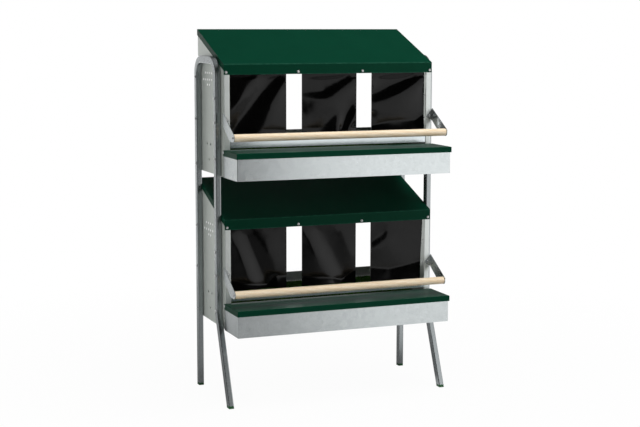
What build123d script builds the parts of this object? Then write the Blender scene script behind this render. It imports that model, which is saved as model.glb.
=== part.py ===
from build123d import *
import os
from math import asin, atan2, cos, hypot, sin

# Two-tier roll-away nest for laying hens, on two tubular side frames.
# Sizes are in millimetres. X runs to the right, Y to the back and Z up.
# The origin is on the floor, in the middle of the outer box.

# Driving dimensions of the whole
OVERALL_HEIGHT = 1500.0
TIER_HEIGHT = 584.0
TIER_PITCH = 618.0
ROOF_WIDTH = 910.0
ROOF_DEPTH = 353.0
ROOF_FALL = 136.6
LID_REACH = 179.0
SHEET = 1.2
FIT_GAP = 0.3
END_GAP = 2.0

# Depths in this script are measured backwards from the face of the fascia, at FACE_Y.
# Heights of a tier are measured from its underside.
FACE_Y = (LID_REACH - ROOF_DEPTH) / 2
TIER_BASE = {
    "lower": OVERALL_HEIGHT - TIER_HEIGHT - TIER_PITCH,
    "upper": OVERALL_HEIGHT - TIER_HEIGHT,
}

# Left and right, as signs of X
SIDES = (-1, 1)

# Roof
FASCIA_HEIGHT = 41.8
SIDE_LIP = 25.6
ROOF_BEND = 3.0
ROOF_FRONT_HEIGHT = TIER_HEIGHT - ROOF_FALL
FASCIA_FOOT = ROOF_FRONT_HEIGHT - FASCIA_HEIGHT
ROOF_SLOPE = atan2(ROOF_FALL, ROOF_DEPTH)
ROOF_SHEET_DROP = SHEET / cos(ROOF_SLOPE)
FASCIA_SCREW_X = (-445.0, -140.5, 140.5, 445.0)
FASCIA_SCREW_HEIGHT = FASCIA_FOOT + 9.5

# Side panels
PANEL_OUTER = ROOF_WIDTH / 2 - SHEET - FIT_GAP
PANEL_INNER = PANEL_OUTER - SHEET
FLANGE_DEPTH = SHEET + FIT_GAP
FLANGE_INNER = 430.0
FLANGE_LIP = 10.0
FLANGE_LIP_BEND = 1.5
REAR_FLANGE = 15.0
PANEL_REAR = ROOF_DEPTH - SHEET - END_GAP
PANEL_ROOF_GAP = 1.0
VENT_DIAMETER = 10.5
VENT_PITCH = 27.5
VENT_CENTRE_DEPTH = 209.0
VENT_ROWS = ((4, 406.5), (6, 379.0), (2, 358.5))
LOW_HOLES = ((231.0, 117.0), (183.0, 117.0), (206.0, 53.0))

# Floor, mat and the strips that keep litter in
FLOOR_FRONT_DEPTH = -168.0
FLOOR_FRONT_HEIGHT = 6.0
FLOOR_REAR_DEPTH = 341.0
FLOOR_REAR_HEIGHT = 114.0
FLOOR_SIDE_FLANGE = 18.0
FLOOR_NOSE_HALF = FLANGE_INNER - END_GAP
FLOOR_NOSE_DEPTH = FLANGE_DEPTH + FLANGE_LIP + END_GAP
FLOOR_SLOPE = atan2(FLOOR_REAR_HEIGHT - FLOOR_FRONT_HEIGHT, FLOOR_REAR_DEPTH - FLOOR_FRONT_DEPTH)
MAT_THICKNESS = 10.0
MAT_SIDE_GAP = 7.0
REAR_PANEL_HEIGHT = 157.0
REAR_PANEL_LEDGE = 12.0
THRESHOLD_FOOT = 115.0
THRESHOLD_TOP = 154.0
THRESHOLD_TAB = 9.0

# Curtains and their rail
CURTAIN_WIDTH = 240.0
CURTAIN_X = {"left": -307.0, "middle": 0.0, "right": 307.0}
CURTAIN_DEPTH = 15.0
CURTAIN_TOP = FASCIA_FOOT + 5.4
CURTAIN_DROP = 240.0
CURTAIN_THICKNESS = 2.0
RAIL_FOOT = CURTAIN_TOP + 1.2
RAIL_TOP = RAIL_FOOT + 15.0
RAIL_REAR = CURTAIN_DEPTH + SHEET / 2
RAIL_HALF = FLANGE_INNER - END_GAP
# Each curtain's folds run slantwise: sideways drift from top to bottom, and bulge at the foot
CURTAIN_FOLDS = {
    ("upper", "left"): (-40.0, 9.0),
    ("upper", "middle"): (-34.0, -8.0),
    ("upper", "right"): (-44.0, 8.0),
    ("lower", "left"): (36.0, 8.0),
    ("lower", "middle"): (42.0, -9.0),
    ("lower", "right"): (-32.0, 8.0),
}
FOLD_LEVELS = ((0.0, 0.04), (0.45, 0.6), (1.0, 1.0))

# Perch and brackets
PERCH_DIAMETER = 30.0
PERCH_HALF = 458.0
PERCH_DEPTH = -125.5
PERCH_HEIGHT = 165.0
PERCH_EASE = 4.0
BRACKET_THICKNESS = 2.0
BRACKET_TOP = 256.0
BRACKET_FOOT = 205.0
BRACKET_END_RADIUS = 16.0
BRACKET_HEEL_DEPTH = -86.0
FLAP_TIP = (FLANGE_INNER + 1.0, 222.0)
FLAP_BOLT = (446.0, 226.0)

# Egg tray and lid
TRAY_HALF = 458.7
TRAY_FRONT = -171.8
TRAY_HEIGHT = 104.0
TRAY_REAR_FLANGE = 20.0
TRAY_HEM = 8.0
TRAY_SCREW_X = 443.0
TRAY_SCREW_HEIGHTS = (25.0, 68.0)
LID_HALF = 462.0
LID_TOP = 108.5
LID_LIP = 22.5
LID_BEND = 3.0
LID_REAR = -5.0
PIVOT_DEPTH = -13.0
PIVOT_HEIGHT = 100.0
PIVOT_DIAMETER = 5.0
PIVOT_PLAY = 0.05

# Side frames
TUBE_DEEP = 30.0
TUBE_WIDE = 22.0
TUBE_CORNER = 4.0
TUBE_WALL = 1.5
TUBE_OFF = 2.0
TUBE_X = PANEL_OUTER + TUBE_OFF + TUBE_WIDE / 2
REAR_TUBE_DEPTH = 313.0
FRONT_TUBE_DEPTH = 55.0
ARCH_HEIGHT = 1377.0
ARCH_RADIUS = 62.0
LEG_BEND_HEIGHT = 355.0
LEG_BEND_RADIUS = 90.0
FRONT_FOOT_DEPTH = -93.0
SEAM_GAP = 1.2
SLEEVE_LENGTH = 80.0
SLEEVE_PLAY = 0.2
CAP_SOLE = 10.0
CAP_HEIGHT = 34.0
CAP_WALL = 2.0
CAP_PLAY = 0.2

# Fasteners
FRAME_BOLT_DIAMETER = 6.0
FRAME_BOLT_HEAD = 12.0
FRAME_BOLT_HEAD_HEIGHT = 4.0
FRAME_BOLT_TAIL = 6.0
REAR_BOLT_HEIGHTS = (388.0, 214.0, 29.0)
FRONT_BOLT_HEIGHTS = (310.0, 214.0, 69.0)
SPACER_DIAMETER = 14.0
NUT_ACROSS = 10.0
NUT_HEIGHT = 4.0
SCREW_DIAMETER = 5.0
SCREW_HEAD = 11.0
SCREW_HEAD_HEIGHT = 3.5
HEAD_CHAMFER = 1.6
SCREW_REACH = 9.0
PERCH_SCREW_REACH = 40.0


def at(depth, height):
    """Point of a YZ outline from a depth behind the fascia and a height."""
    return (FACE_Y + depth, height)


def yz_extrusion(face, x_from, x_to):
    """Face drawn in the YZ plane, extruded along X."""
    return Pos(x_from, 0, 0) * extrude(Plane.YZ * face, amount=x_to - x_from, dir=(1, 0, 0))


def yz_prism(outline, x_from, x_to):
    """Closed YZ outline extruded along X."""
    return yz_extrusion(make_face(outline), x_from, x_to)


def bent_sheet(points, bend):
    """Face of a sheet folded along an open path, bends rounded, metal on the left of the path."""
    path = Wire(FilletPolyline(*points, radius=bend).edges())
    return make_face(path.offset_2d(SHEET, side=Side.LEFT, closed=True))


def x_cylinder(radius, x_from, x_to, depth, height):
    """Round bar along X."""
    return yz_extrusion(Pos(*at(depth, height)) * Circle(radius), min(x_from, x_to), max(x_from, x_to))


def y_cylinder(radius, depth_from, depth_to, x, height):
    """Round bar along Y."""
    bar = Plane.XZ * (Pos(x, height) * Circle(radius))
    return Pos(0, FACE_Y + depth_from, 0) * extrude(bar, amount=depth_to - depth_from, dir=(0, 1, 0))


def headed_bolt(diameter, length, head_diameter, head_height):
    """Bolt with an eased round head, tip down the -Z axis, underside of its head at the origin."""
    head = Cylinder(head_diameter / 2, head_height, align=(Align.CENTER, Align.CENTER, Align.MIN))
    head = chamfer(head.edges().group_by(Axis.Z)[-1], HEAD_CHAMFER)
    return head + Cylinder(diameter / 2, length, align=(Align.CENTER, Align.CENTER, Align.MAX))


def screw(length):
    """Sheet metal screw of the common size."""
    return headed_bolt(SCREW_DIAMETER, length, SCREW_HEAD, SCREW_HEAD_HEIGHT)


def nut(bore):
    """Hexagon nut hanging below the XY plane."""
    section = RegularPolygon(NUT_ACROSS / 2, 6, major_radius=False) - Circle(bore / 2)
    return extrude(section, amount=-NUT_HEIGHT)


def facing_front(x, depth, height):
    """Place on a front face, its Z axis pointing forwards."""
    return Location((x, FACE_Y + depth, height), (90, 0, 0))


def facing_side(side, x, depth, height):
    """Place on the left (-1) or right (+1) side, its Z axis pointing outwards."""
    return Location((side * x, FACE_Y + depth, height), (0, 90 * side, 0))


def roof():
    """Folded roof: slope, fascia, side lips and rear hem."""
    half = ROOF_WIDTH / 2
    lip_foot = TIER_HEIGHT - SIDE_LIP
    skin = FilletPolyline(
        at(0, FASCIA_FOOT),
        at(0, ROOF_FRONT_HEIGHT),
        at(ROOF_DEPTH, TIER_HEIGHT),
        at(ROOF_DEPTH, lip_foot),
        at(SHEET, lip_foot - ROOF_FALL),
        at(SHEET, FASCIA_FOOT),
        radius=(0, ROOF_BEND, ROOF_BEND, 0, 0, 0),
        close=True,
    )
    rise = (ROOF_DEPTH - SHEET) * ROOF_FALL / ROOF_DEPTH
    first_rise = SHEET * ROOF_FALL / ROOF_DEPTH
    under = FilletPolyline(
        at(SHEET, 0),
        at(SHEET, ROOF_FRONT_HEIGHT + first_rise - ROOF_SHEET_DROP),
        at(ROOF_DEPTH - SHEET, ROOF_FRONT_HEIGHT + rise - ROOF_SHEET_DROP),
        at(ROOF_DEPTH - SHEET, 0),
        radius=(0, ROOF_BEND - SHEET, ROOF_BEND - SHEET, 0),
        close=True,
    )
    shell = yz_prism(skin, -half, half) - yz_prism(under, SHEET - half, half - SHEET)
    for x in FASCIA_SCREW_X:
        shell -= y_cylinder(SCREW_DIAMETER / 2, -SHEET, 2 * SHEET, x, FASCIA_SCREW_HEIGHT)
    return shell


def side_panel():
    """Right side panel: folded front flange with a rolled lip, rear flange and vent holes."""
    front = FACE_Y + FLANGE_DEPTH
    rear = FACE_Y + PANEL_REAR
    plan = bent_sheet(
        (
            (FLANGE_INNER, front + FLANGE_LIP),
            (FLANGE_INNER, front),
            (PANEL_OUTER, front),
            (PANEL_OUTER, rear),
            (PANEL_OUTER - REAR_FLANGE, rear),
        ),
        (FLANGE_LIP_BEND, 2 * SHEET, 2 * SHEET),
    )
    under_roof = ROOF_FRONT_HEIGHT - ROOF_SHEET_DROP - PANEL_ROOF_GAP
    above = Polyline(
        at(0, under_roof),
        at(ROOF_DEPTH, under_roof + ROOF_FALL),
        at(ROOF_DEPTH, TIER_HEIGHT + ROOF_FALL),
        at(0, TIER_HEIGHT + ROOF_FALL),
        close=True,
    )
    panel = extrude(plan, amount=TIER_HEIGHT, dir=(0, 0, 1)) - yz_prism(above, 0, ROOF_WIDTH)
    panel -= [panel_hole(VENT_DIAMETER, *spot) for spot in vent_spots()]
    panel -= [panel_hole(FRAME_BOLT_DIAMETER, *spot) for spot in bolt_spots()]
    return panel - [
        y_cylinder(SCREW_DIAMETER / 2, 0, FLANGE_DEPTH + 2 * SHEET, *spot) for spot in flange_spots()
    ]


def panel_hole(diameter, depth, height):
    """Cutter for a round hole through the right side panel."""
    return x_cylinder(diameter / 2, PANEL_INNER - SHEET, PANEL_OUTER + SHEET, depth, height)


def vent_spots():
    """Depth and height of the vent holes: three rows under the roof and three holes below."""
    spots = list(LOW_HOLES)
    for count, height in VENT_ROWS:
        first = VENT_CENTRE_DEPTH - (count - 1) * VENT_PITCH / 2
        spots += [(first + step * VENT_PITCH, height) for step in range(count)]
    return spots


def bolt_spots():
    """Depth and height of the frame bolts of one tier."""
    spots = [(REAR_TUBE_DEPTH, height) for height in REAR_BOLT_HEIGHTS]
    return spots + [(FRONT_TUBE_DEPTH, height) for height in FRONT_BOLT_HEIGHTS]


def flange_spots():
    """Place across and height of the screw holes in the right front flange."""
    spots = [(FASCIA_SCREW_X[-1], FASCIA_SCREW_HEIGHT), FLAP_BOLT]
    return spots + [(TRAY_SCREW_X, height) for height in TRAY_SCREW_HEIGHTS]


def rear_panel():
    """Low panel across the open back, folded forward along its top."""
    rear = FACE_Y + PANEL_REAR - SHEET - FIT_GAP
    section = bent_sheet(
        ((rear, 0), (rear, REAR_PANEL_HEIGHT), (rear - REAR_PANEL_LEDGE, REAR_PANEL_HEIGHT)),
        2 * SHEET,
    )
    half = PANEL_INNER - END_GAP
    return yz_extrusion(section, -half, half)


def floor_plane():
    """Plane on the roll-out floor: X across, local Y up the slope, origin at its front edge."""
    origin = (0, FACE_Y + FLOOR_FRONT_DEPTH, FLOOR_FRONT_HEIGHT)
    return Plane(origin, x_dir=(1, 0, 0), z_dir=(0, -sin(FLOOR_SLOPE), cos(FLOOR_SLOPE)))


def up_slope(depth):
    """Distance up the floor from its front edge to a depth behind the fascia."""
    return (depth - FLOOR_FRONT_DEPTH) / cos(FLOOR_SLOPE)


def nest_floor():
    """Sloping floor with flanges folded down at the sides and a nose that reaches into the tray."""
    half = PANEL_INNER - FIT_GAP
    nose = up_slope(FLOOR_NOSE_DEPTH)
    length = up_slope(FLOOR_REAR_DEPTH)
    section = bent_sheet(
        ((half, -FLOOR_SIDE_FLANGE), (half, 0), (-half, 0), (-half, -FLOOR_SIDE_FLANGE)),
        2 * SHEET,
    )
    sheet = extrude(Plane.XZ * section, amount=length, dir=(0, 1, 0))
    corner = Box(
        half - FLOOR_NOSE_HALF,
        nose,
        3 * FLOOR_SIDE_FLANGE,
        align=(Align.MIN, Align.MIN, Align.CENTER),
    )
    for corner_x in (FLOOR_NOSE_HALF, -half):
        sheet -= Pos(corner_x, 0, 0) * corner
    return floor_plane() * sheet


def turf_mat():
    """Mat of artificial turf lying on the floor behind the threshold."""
    half = PANEL_INNER - FIT_GAP - MAT_SIDE_GAP
    first = up_slope(FLOOR_NOSE_DEPTH) + MAT_SIDE_GAP
    last = up_slope(FLOOR_REAR_DEPTH - REAR_PANEL_LEDGE / 2)
    mat = Box(2 * half, last - first, MAT_THICKNESS, align=(Align.CENTER, Align.MIN, Align.MIN))
    return floor_plane() * (Pos(0, first, 0) * mat)


def threshold():
    """Strip across the foot of the entrances, its end tabs folded back along the flange lips."""
    half = FLANGE_INNER - FIT_GAP
    front = FACE_Y + FLANGE_DEPTH
    plan = bent_sheet(
        (
            (-half, front + THRESHOLD_TAB),
            (-half, front),
            (half, front),
            (half, front + THRESHOLD_TAB),
        ),
        2 * SHEET,
    )
    return Pos(0, 0, THRESHOLD_FOOT) * extrude(plan, amount=THRESHOLD_TOP - THRESHOLD_FOOT, dir=(0, 0, 1))


def curtain_rail():
    """Channel behind the fascia, open downwards, that carries the curtains on its rear leg."""
    front = FACE_Y + FLANGE_DEPTH
    rear = FACE_Y + RAIL_REAR
    section = bent_sheet(
        ((rear, RAIL_FOOT), (rear, RAIL_TOP), (front, RAIL_TOP), (front, FASCIA_FOOT + SHEET)),
        2 * SHEET,
    )
    rail = yz_extrusion(section, -RAIL_HALF, RAIL_HALF)
    for x in FASCIA_SCREW_X[1:3]:
        rail -= y_cylinder(SCREW_DIAMETER / 2, 0, FLANGE_DEPTH + 2 * SHEET, x, FASCIA_SCREW_HEIGHT)
    return rail


def fold_section(level, share, drift, bulge):
    """Level section of a curtain: three shallow arcs, front and back, of one sheet thickness."""
    half = CURTAIN_WIDTH / 2
    third = CURTAIN_WIDTH / 3
    shift = drift * level
    knots = (-half, -third / 2 + shift, third / 2 + shift, half)
    front = -CURTAIN_THICKNESS / 2
    back = CURTAIN_THICKNESS / 2
    front_arcs = []
    back_arcs = []
    sway = bulge * share
    for start, end in zip(knots, knots[1:]):
        middle = (start + end) / 2
        out = sway * (end - start) / third
        front_arcs.append(ThreePointArc((start, front), (middle, front + out), (end, front)))
        back_arcs.append(ThreePointArc((end, back), (middle, back + out), (start, back)))
        sway = -sway
    right_edge = Line((half, front), (half, back))
    left_edge = Line((-half, back), (-half, front))
    return make_face(front_arcs + [right_edge] + back_arcs[::-1] + [left_edge])


def curtain(tier, place):
    """One hanging curtain, straight along its top and folded towards its foot."""
    drift, bulge = CURTAIN_FOLDS[(tier, place)]
    sections = []
    for level, share in FOLD_LEVELS:
        height = CURTAIN_TOP - level * CURTAIN_DROP
        spot = Pos(CURTAIN_X[place], FACE_Y + CURTAIN_DEPTH, height)
        sections.append(spot * fold_section(level, share, drift, bulge))
    return loft(sections)


def perch():
    """Beech dowel with rounded ends and a pilot hole in each end."""
    rod = x_cylinder(PERCH_DIAMETER / 2, -PERCH_HALF, PERCH_HALF, PERCH_DEPTH, PERCH_HEIGHT)
    rod = fillet(rod.edges().filter_by(GeomType.CIRCLE), PERCH_EASE)
    for side in SIDES:
        pilot_end = side * (PERCH_HALF + BRACKET_THICKNESS - PERCH_SCREW_REACH)
        rod -= x_cylinder(SCREW_DIAMETER / 2, pilot_end, side * PERCH_HALF, PERCH_DEPTH, PERCH_HEIGHT)
    return rod


def perch_bracket():
    """Right bracket: sloping strip to the perch, and a flap folded onto the panel's flange."""
    bend = FLANGE_DEPTH - BRACKET_THICKNESS
    centre = at(PERCH_DEPTH, PERCH_HEIGHT)
    heel = at(BRACKET_HEEL_DEPTH, PERCH_HEIGHT - BRACKET_END_RADIUS)
    top = at(bend, BRACKET_TOP)
    reach = bend - PERCH_DEPTH
    fall = BRACKET_TOP - PERCH_HEIGHT
    slope = atan2(fall, reach) - asin(BRACKET_END_RADIUS / hypot(reach, fall))
    shoulder = (
        centre[0] - BRACKET_END_RADIUS * sin(slope),
        centre[1] + BRACKET_END_RADIUS * cos(slope),
    )
    nose = (centre[0] - BRACKET_END_RADIUS, centre[1])
    chin = (centre[0], centre[1] - BRACKET_END_RADIUS)
    outline = Polyline(chin, heel, at(bend, BRACKET_FOOT), top, shoulder)
    outline += ThreePointArc(shoulder, nose, chin)
    outer = PERCH_HALF + BRACKET_THICKNESS
    strip = yz_prism(outline, PERCH_HALF, outer)
    flap_outline = Polyline((outer, BRACKET_FOOT), (outer, BRACKET_TOP), FLAP_TIP, close=True)
    flap = extrude(Plane.XZ * make_face(flap_outline), amount=BRACKET_THICKNESS, dir=(0, 1, 0))
    bracket = strip + Pos(0, FACE_Y + bend, 0) * flap
    bracket -= x_cylinder(SCREW_DIAMETER / 2, PERCH_HALF, outer, PERCH_DEPTH, PERCH_HEIGHT)
    bracket -= y_cylinder(SCREW_DIAMETER / 2, bend, FLANGE_DEPTH, *FLAP_BOLT)
    return bracket


def egg_tray():
    """Trough in front of the nest: base, front and side walls, rear flanges and a front hem."""
    front = FACE_Y + TRAY_FRONT
    rear = FACE_Y + FLANGE_DEPTH - FIT_GAP
    flange_end = TRAY_HALF - TRAY_REAR_FLANGE
    plan = bent_sheet(
        (
            (-flange_end, rear),
            (-TRAY_HALF, rear),
            (-TRAY_HALF, front),
            (TRAY_HALF, front),
            (TRAY_HALF, rear),
            (flange_end, rear),
        ),
        2 * SHEET,
    )
    walls = extrude(plan, amount=TRAY_HEIGHT, dir=(0, 0, 1))
    inset = 0.75 * SHEET
    depth = rear - front - 2 * inset
    base = Box(2 * (TRAY_HALF - inset), depth, SHEET, align=(Align.CENTER, Align.MIN, Align.MIN))
    hem = Box(2 * (TRAY_HALF - inset), TRAY_HEM, SHEET, align=(Align.CENTER, Align.MIN, Align.MAX))
    tray = walls + Pos(0, front + inset, 0) * base + Pos(0, front + inset, TRAY_HEIGHT) * hem
    for side in SIDES:
        tray -= x_cylinder(PIVOT_DIAMETER / 2, 0, side * TRAY_HALF, PIVOT_DEPTH, PIVOT_HEIGHT)
        for height in TRAY_SCREW_HEIGHTS:
            tray -= y_cylinder(SCREW_DIAMETER / 2, -2 * SHEET, 2 * SHEET, side * TRAY_SCREW_X, height)
    return tray


def lid_folds(block):
    """Edges of a block along which the lid's sheet is folded."""
    along_top = block.edges().group_by(Axis.Z)[-1].sort_by(Axis.Y)[:-1]
    return along_top + block.edges().filter_by(Axis.Z).group_by(Axis.Y)[0]


def egg_lid():
    """Lid with front and side lips, and a pivot hole at the rear of each side lip."""
    front = FACE_Y - LID_REACH
    depth = LID_REACH + LID_REAR
    align = (Align.CENTER, Align.MIN, Align.MAX)
    blank = Box(2 * LID_HALF, depth, LID_LIP, align=align)
    blank = fillet(lid_folds(blank), LID_BEND)
    hollow = Box(2 * (LID_HALF - SHEET), depth, LID_LIP, align=align)
    hollow = fillet(lid_folds(hollow), LID_BEND - SHEET)
    lid = blank - Pos(0, SHEET, -SHEET) * hollow
    lid = Pos(0, front, LID_TOP) * lid
    bore = PIVOT_DIAMETER / 2 + PIVOT_PLAY
    return lid - x_cylinder(bore, -LID_HALF, LID_HALF, PIVOT_DEPTH, PIVOT_HEIGHT)


def lid_pivot_screws():
    """Screws on which the lid turns, one at each end of the tray."""
    face = LID_HALF + FIT_GAP
    pin = screw(face - TRAY_HALF + SHEET + NUT_HEIGHT)
    return [facing_side(side, face, PIVOT_DEPTH, PIVOT_HEIGHT) * pin for side in SIDES]


def lid_pivot_nuts():
    """Nuts on the pivot screws, inside the tray."""
    inside = TRAY_HALF - SHEET
    return [facing_side(side, inside, PIVOT_DEPTH, PIVOT_HEIGHT) * nut(PIVOT_DIAMETER) for side in SIDES]


def fascia_screws():
    """Screws through the fascia into the flanges and the rail."""
    return [facing_front(x, 0, FASCIA_SCREW_HEIGHT) * screw(SCREW_REACH) for x in FASCIA_SCREW_X]


def bracket_bolts():
    """Screws that hold the bracket flaps to the front flanges."""
    x, height = FLAP_BOLT
    face = FLANGE_DEPTH - BRACKET_THICKNESS
    return [facing_front(side * x, face, height) * screw(SCREW_REACH) for side in SIDES]


def perch_screws():
    """Screws through the brackets into the ends of the perch."""
    face = PERCH_HALF + BRACKET_THICKNESS
    long_screw = screw(PERCH_SCREW_REACH)
    return [facing_side(side, face, PERCH_DEPTH, PERCH_HEIGHT) * long_screw for side in SIDES]


def tray_screws():
    """Screws inside the tray, through its rear flanges into the panel flanges."""
    face = FLANGE_DEPTH - FIT_GAP - SHEET
    spots = [(side * TRAY_SCREW_X, height) for side in SIDES for height in TRAY_SCREW_HEIGHTS]
    return [facing_front(x, face, height) * screw(SCREW_REACH) for x, height in spots]


def tube_section(inset):
    """Rounded rectangular tube section, drawn in by an inset, long side along Y."""
    return RectangleRounded(TUBE_WIDE - 2 * inset, TUBE_DEEP - 2 * inset, TUBE_CORNER - inset)


def frame_point(depth, height):
    """Point on the centre plane of the right side frame."""
    return (TUBE_X, FACE_Y + depth, height)


def swept_tube(points, radii):
    """Hollow tube bent along a path that starts upwards from the floor."""
    path = Wire(FilletPolyline(*points, radius=radii).edges())
    start = Plane(path @ 0, x_dir=(1, 0, 0), z_dir=path % 0)
    outside = sweep(start * tube_section(0), path=path)
    inside = sweep(start * tube_section(TUBE_WALL), path=path)
    return outside - inside


def above_floor(shape, height):
    """What is left of a shape above a height."""
    block = Box(4 * TUBE_X, 4 * TUBE_X, OVERALL_HEIGHT, align=(Align.CENTER, Align.CENTER, Align.MAX))
    return shape - Pos(0, 0, height) * block


def bolt_holes(depth, heights):
    """Bolt holes through a right-hand tube at both tiers."""
    radius = FRAME_BOLT_DIAMETER / 2
    levels = [base + height for base in TIER_BASE.values() for height in heights]
    return [x_cylinder(radius, TUBE_X - TUBE_WIDE, TUBE_X + TUBE_WIDE, depth, level) for level in levels]


def arch_middle():
    """Depth of the seam in the arch."""
    return (REAR_TUBE_DEPTH + FRONT_TUBE_DEPTH) / 2


def rear_leg_tube():
    """Right rear tube: straight leg, then half of the arch."""
    points = [
        frame_point(REAR_TUBE_DEPTH, CAP_SOLE),
        frame_point(REAR_TUBE_DEPTH, ARCH_HEIGHT),
        frame_point(arch_middle() + SEAM_GAP / 2, ARCH_HEIGHT),
    ]
    return swept_tube(points, ARCH_RADIUS) - bolt_holes(REAR_TUBE_DEPTH, REAR_BOLT_HEIGHTS)


def front_leg_path():
    """Path of the front tube, from below the floor line to the seam in the arch."""
    lean = (FRONT_TUBE_DEPTH - FRONT_FOOT_DEPTH) / LEG_BEND_HEIGHT
    below = -TUBE_DEEP
    return [
        frame_point(FRONT_FOOT_DEPTH + lean * below, below),
        frame_point(FRONT_TUBE_DEPTH, LEG_BEND_HEIGHT),
        frame_point(FRONT_TUBE_DEPTH, ARCH_HEIGHT),
        frame_point(arch_middle() - SEAM_GAP / 2, ARCH_HEIGHT),
    ]


def front_leg_tube():
    """Right front tube: splayed leg, upright, then half of the arch."""
    tube = swept_tube(front_leg_path(), (LEG_BEND_RADIUS, ARCH_RADIUS))
    tube = above_floor(tube, CAP_SOLE)
    return tube - bolt_holes(FRONT_TUBE_DEPTH, FRONT_BOLT_HEIGHTS)


def arch_sleeve():
    """Right spigot inside the seam of the arch."""
    outer = tube_section(TUBE_WALL + SLEEVE_PLAY)
    inner = tube_section(2 * TUBE_WALL + SLEEVE_PLAY)
    middle = frame_point(arch_middle(), ARCH_HEIGHT)
    across = Plane(middle, x_dir=(1, 0, 0), z_dir=(0, -1, 0))
    return extrude(across * (outer - inner), amount=SLEEVE_LENGTH / 2, both=True)


def foot_cap(start, direction, lift):
    """Moulded cap in a tube end: a level sole on the floor and a hollow plug inside the tube."""
    plane = Plane(start, x_dir=(1, 0, 0), z_dir=direction)
    post = extrude(plane * tube_section(0), amount=lift)
    sole = above_floor(post, 0) - above_floor(post, CAP_SOLE)
    plug = tube_section(TUBE_WALL + CAP_PLAY) - tube_section(TUBE_WALL + CAP_PLAY + CAP_WALL)
    return sole + above_floor(extrude(plane * plug, amount=lift), CAP_SOLE / 2)


def rear_foot_cap():
    """Right rear cap, square to its leg."""
    return foot_cap(frame_point(REAR_TUBE_DEPTH, 0), (0, 0, 1), CAP_HEIGHT)


def front_foot_cap():
    """Right front cap, on the splayed leg."""
    path = front_leg_path()
    direction = Vector(path[1]) - Vector(path[0])
    buried = Vector(path[0]).Z / direction.normalized().Z
    return foot_cap(path[0], direction, CAP_HEIGHT - buried)


def frame_places(x):
    """Places at a distance from the middle, one for every bolt that ties a tube to a side panel."""
    return [
        facing_side(side, x, depth, base + height)
        for side in SIDES
        for base in TIER_BASE.values()
        for depth, height in bolt_spots()
    ]


def frame_bolts():
    """Round-head bolts through tube, spacer and side panel."""
    face = TUBE_X + TUBE_WIDE / 2
    length = face - PANEL_INNER + FRAME_BOLT_TAIL
    bolt = headed_bolt(FRAME_BOLT_DIAMETER, length, FRAME_BOLT_HEAD, FRAME_BOLT_HEAD_HEIGHT)
    return [place * bolt for place in frame_places(face)]


def frame_spacers():
    """Thin washers that keep the tubes clear of the roof lips."""
    ring = Circle(SPACER_DIAMETER / 2) - Circle(FRAME_BOLT_DIAMETER / 2)
    spacer = extrude(ring, amount=TUBE_OFF)
    return [place * spacer for place in frame_places(PANEL_OUTER)]


def frame_nuts():
    """Nuts of the frame bolts, inside the side panels."""
    return [place * nut(FRAME_BOLT_DIAMETER) for place in frame_places(PANEL_INNER)]


def save(name, solids):
    """Writes one node, a single solid or a group of solids, as a STEP file."""
    export_step(Compound(children=solids) if len(solids) > 1 else solids[0], f"parts/{name}.step")


def save_pair(name, right):
    """Writes a right-hand piece and its mirrored left-hand twin."""
    save(f"right_{name}", right.solids())
    save(f"left_{name}", mirror(right, about=Plane.YZ).solids())


def save_frame():
    """Writes the side frames and their fasteners."""
    save_pair("rear_leg_tube", rear_leg_tube())
    save_pair("front_leg_tube", front_leg_tube())
    save_pair("arch_sleeve", arch_sleeve())
    save_pair("rear_foot_cap", rear_foot_cap())
    save_pair("front_foot_cap", front_foot_cap())
    save("frame_bolts", frame_bolts())
    save("frame_spacers", frame_spacers())
    save("frame_nuts", frame_nuts())


def save_tier(tier, singles, groups, pairs):
    """Writes one tier's pieces, raised to its place."""
    lift = Pos(0, 0, TIER_BASE[tier])
    for name, shape in singles.items():
        save(f"{tier}_{name}", (lift * shape).solids())
    for name, solids in groups.items():
        save(f"{tier}_{name}", [lift * solid for solid in solids])
    for name, right in pairs.items():
        save(f"{tier}_right_{name}", (lift * right).solids())
        save(f"{tier}_left_{name}", (lift * mirror(right, about=Plane.YZ)).solids())
    for place in CURTAIN_X:
        save(f"{tier}_{place}_curtain", (lift * curtain(tier, place)).solids())


def main():
    """Builds every piece once and writes the nodes."""
    os.makedirs("parts", exist_ok=True)
    save_frame()
    singles = {
        "roof": roof(),
        "rear_panel": rear_panel(),
        "nest_floor": nest_floor(),
        "turf_mat": turf_mat(),
        "threshold": threshold(),
        "curtain_rail": curtain_rail(),
        "perch": perch(),
        "egg_tray": egg_tray(),
        "egg_lid": egg_lid(),
    }
    groups = {
        "lid_pivot_screws": lid_pivot_screws(),
        "lid_pivot_nuts": lid_pivot_nuts(),
        "fascia_screws": fascia_screws(),
        "bracket_bolts": bracket_bolts(),
        "perch_screws": perch_screws(),
        "tray_screws": tray_screws(),
    }
    pairs = {"side_panel": side_panel(), "perch_bracket": perch_bracket()}
    for tier in TIER_BASE:
        save_tier(tier, singles, groups, pairs)


if __name__ == "__main__":
    main()
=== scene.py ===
"""The looks of a two-tier laying nest for hens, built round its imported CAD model.

Metres, in the CAD model's frame: X runs along the nest, Y from front to back, Z up.
"""

import logging
import math
from collections.abc import Iterator, Sequence
from dataclasses import dataclass
from enum import Enum, IntEnum
from typing import Any, NamedTuple

import bpy
import numpy as np
from mathutils import Matrix, Vector


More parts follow.
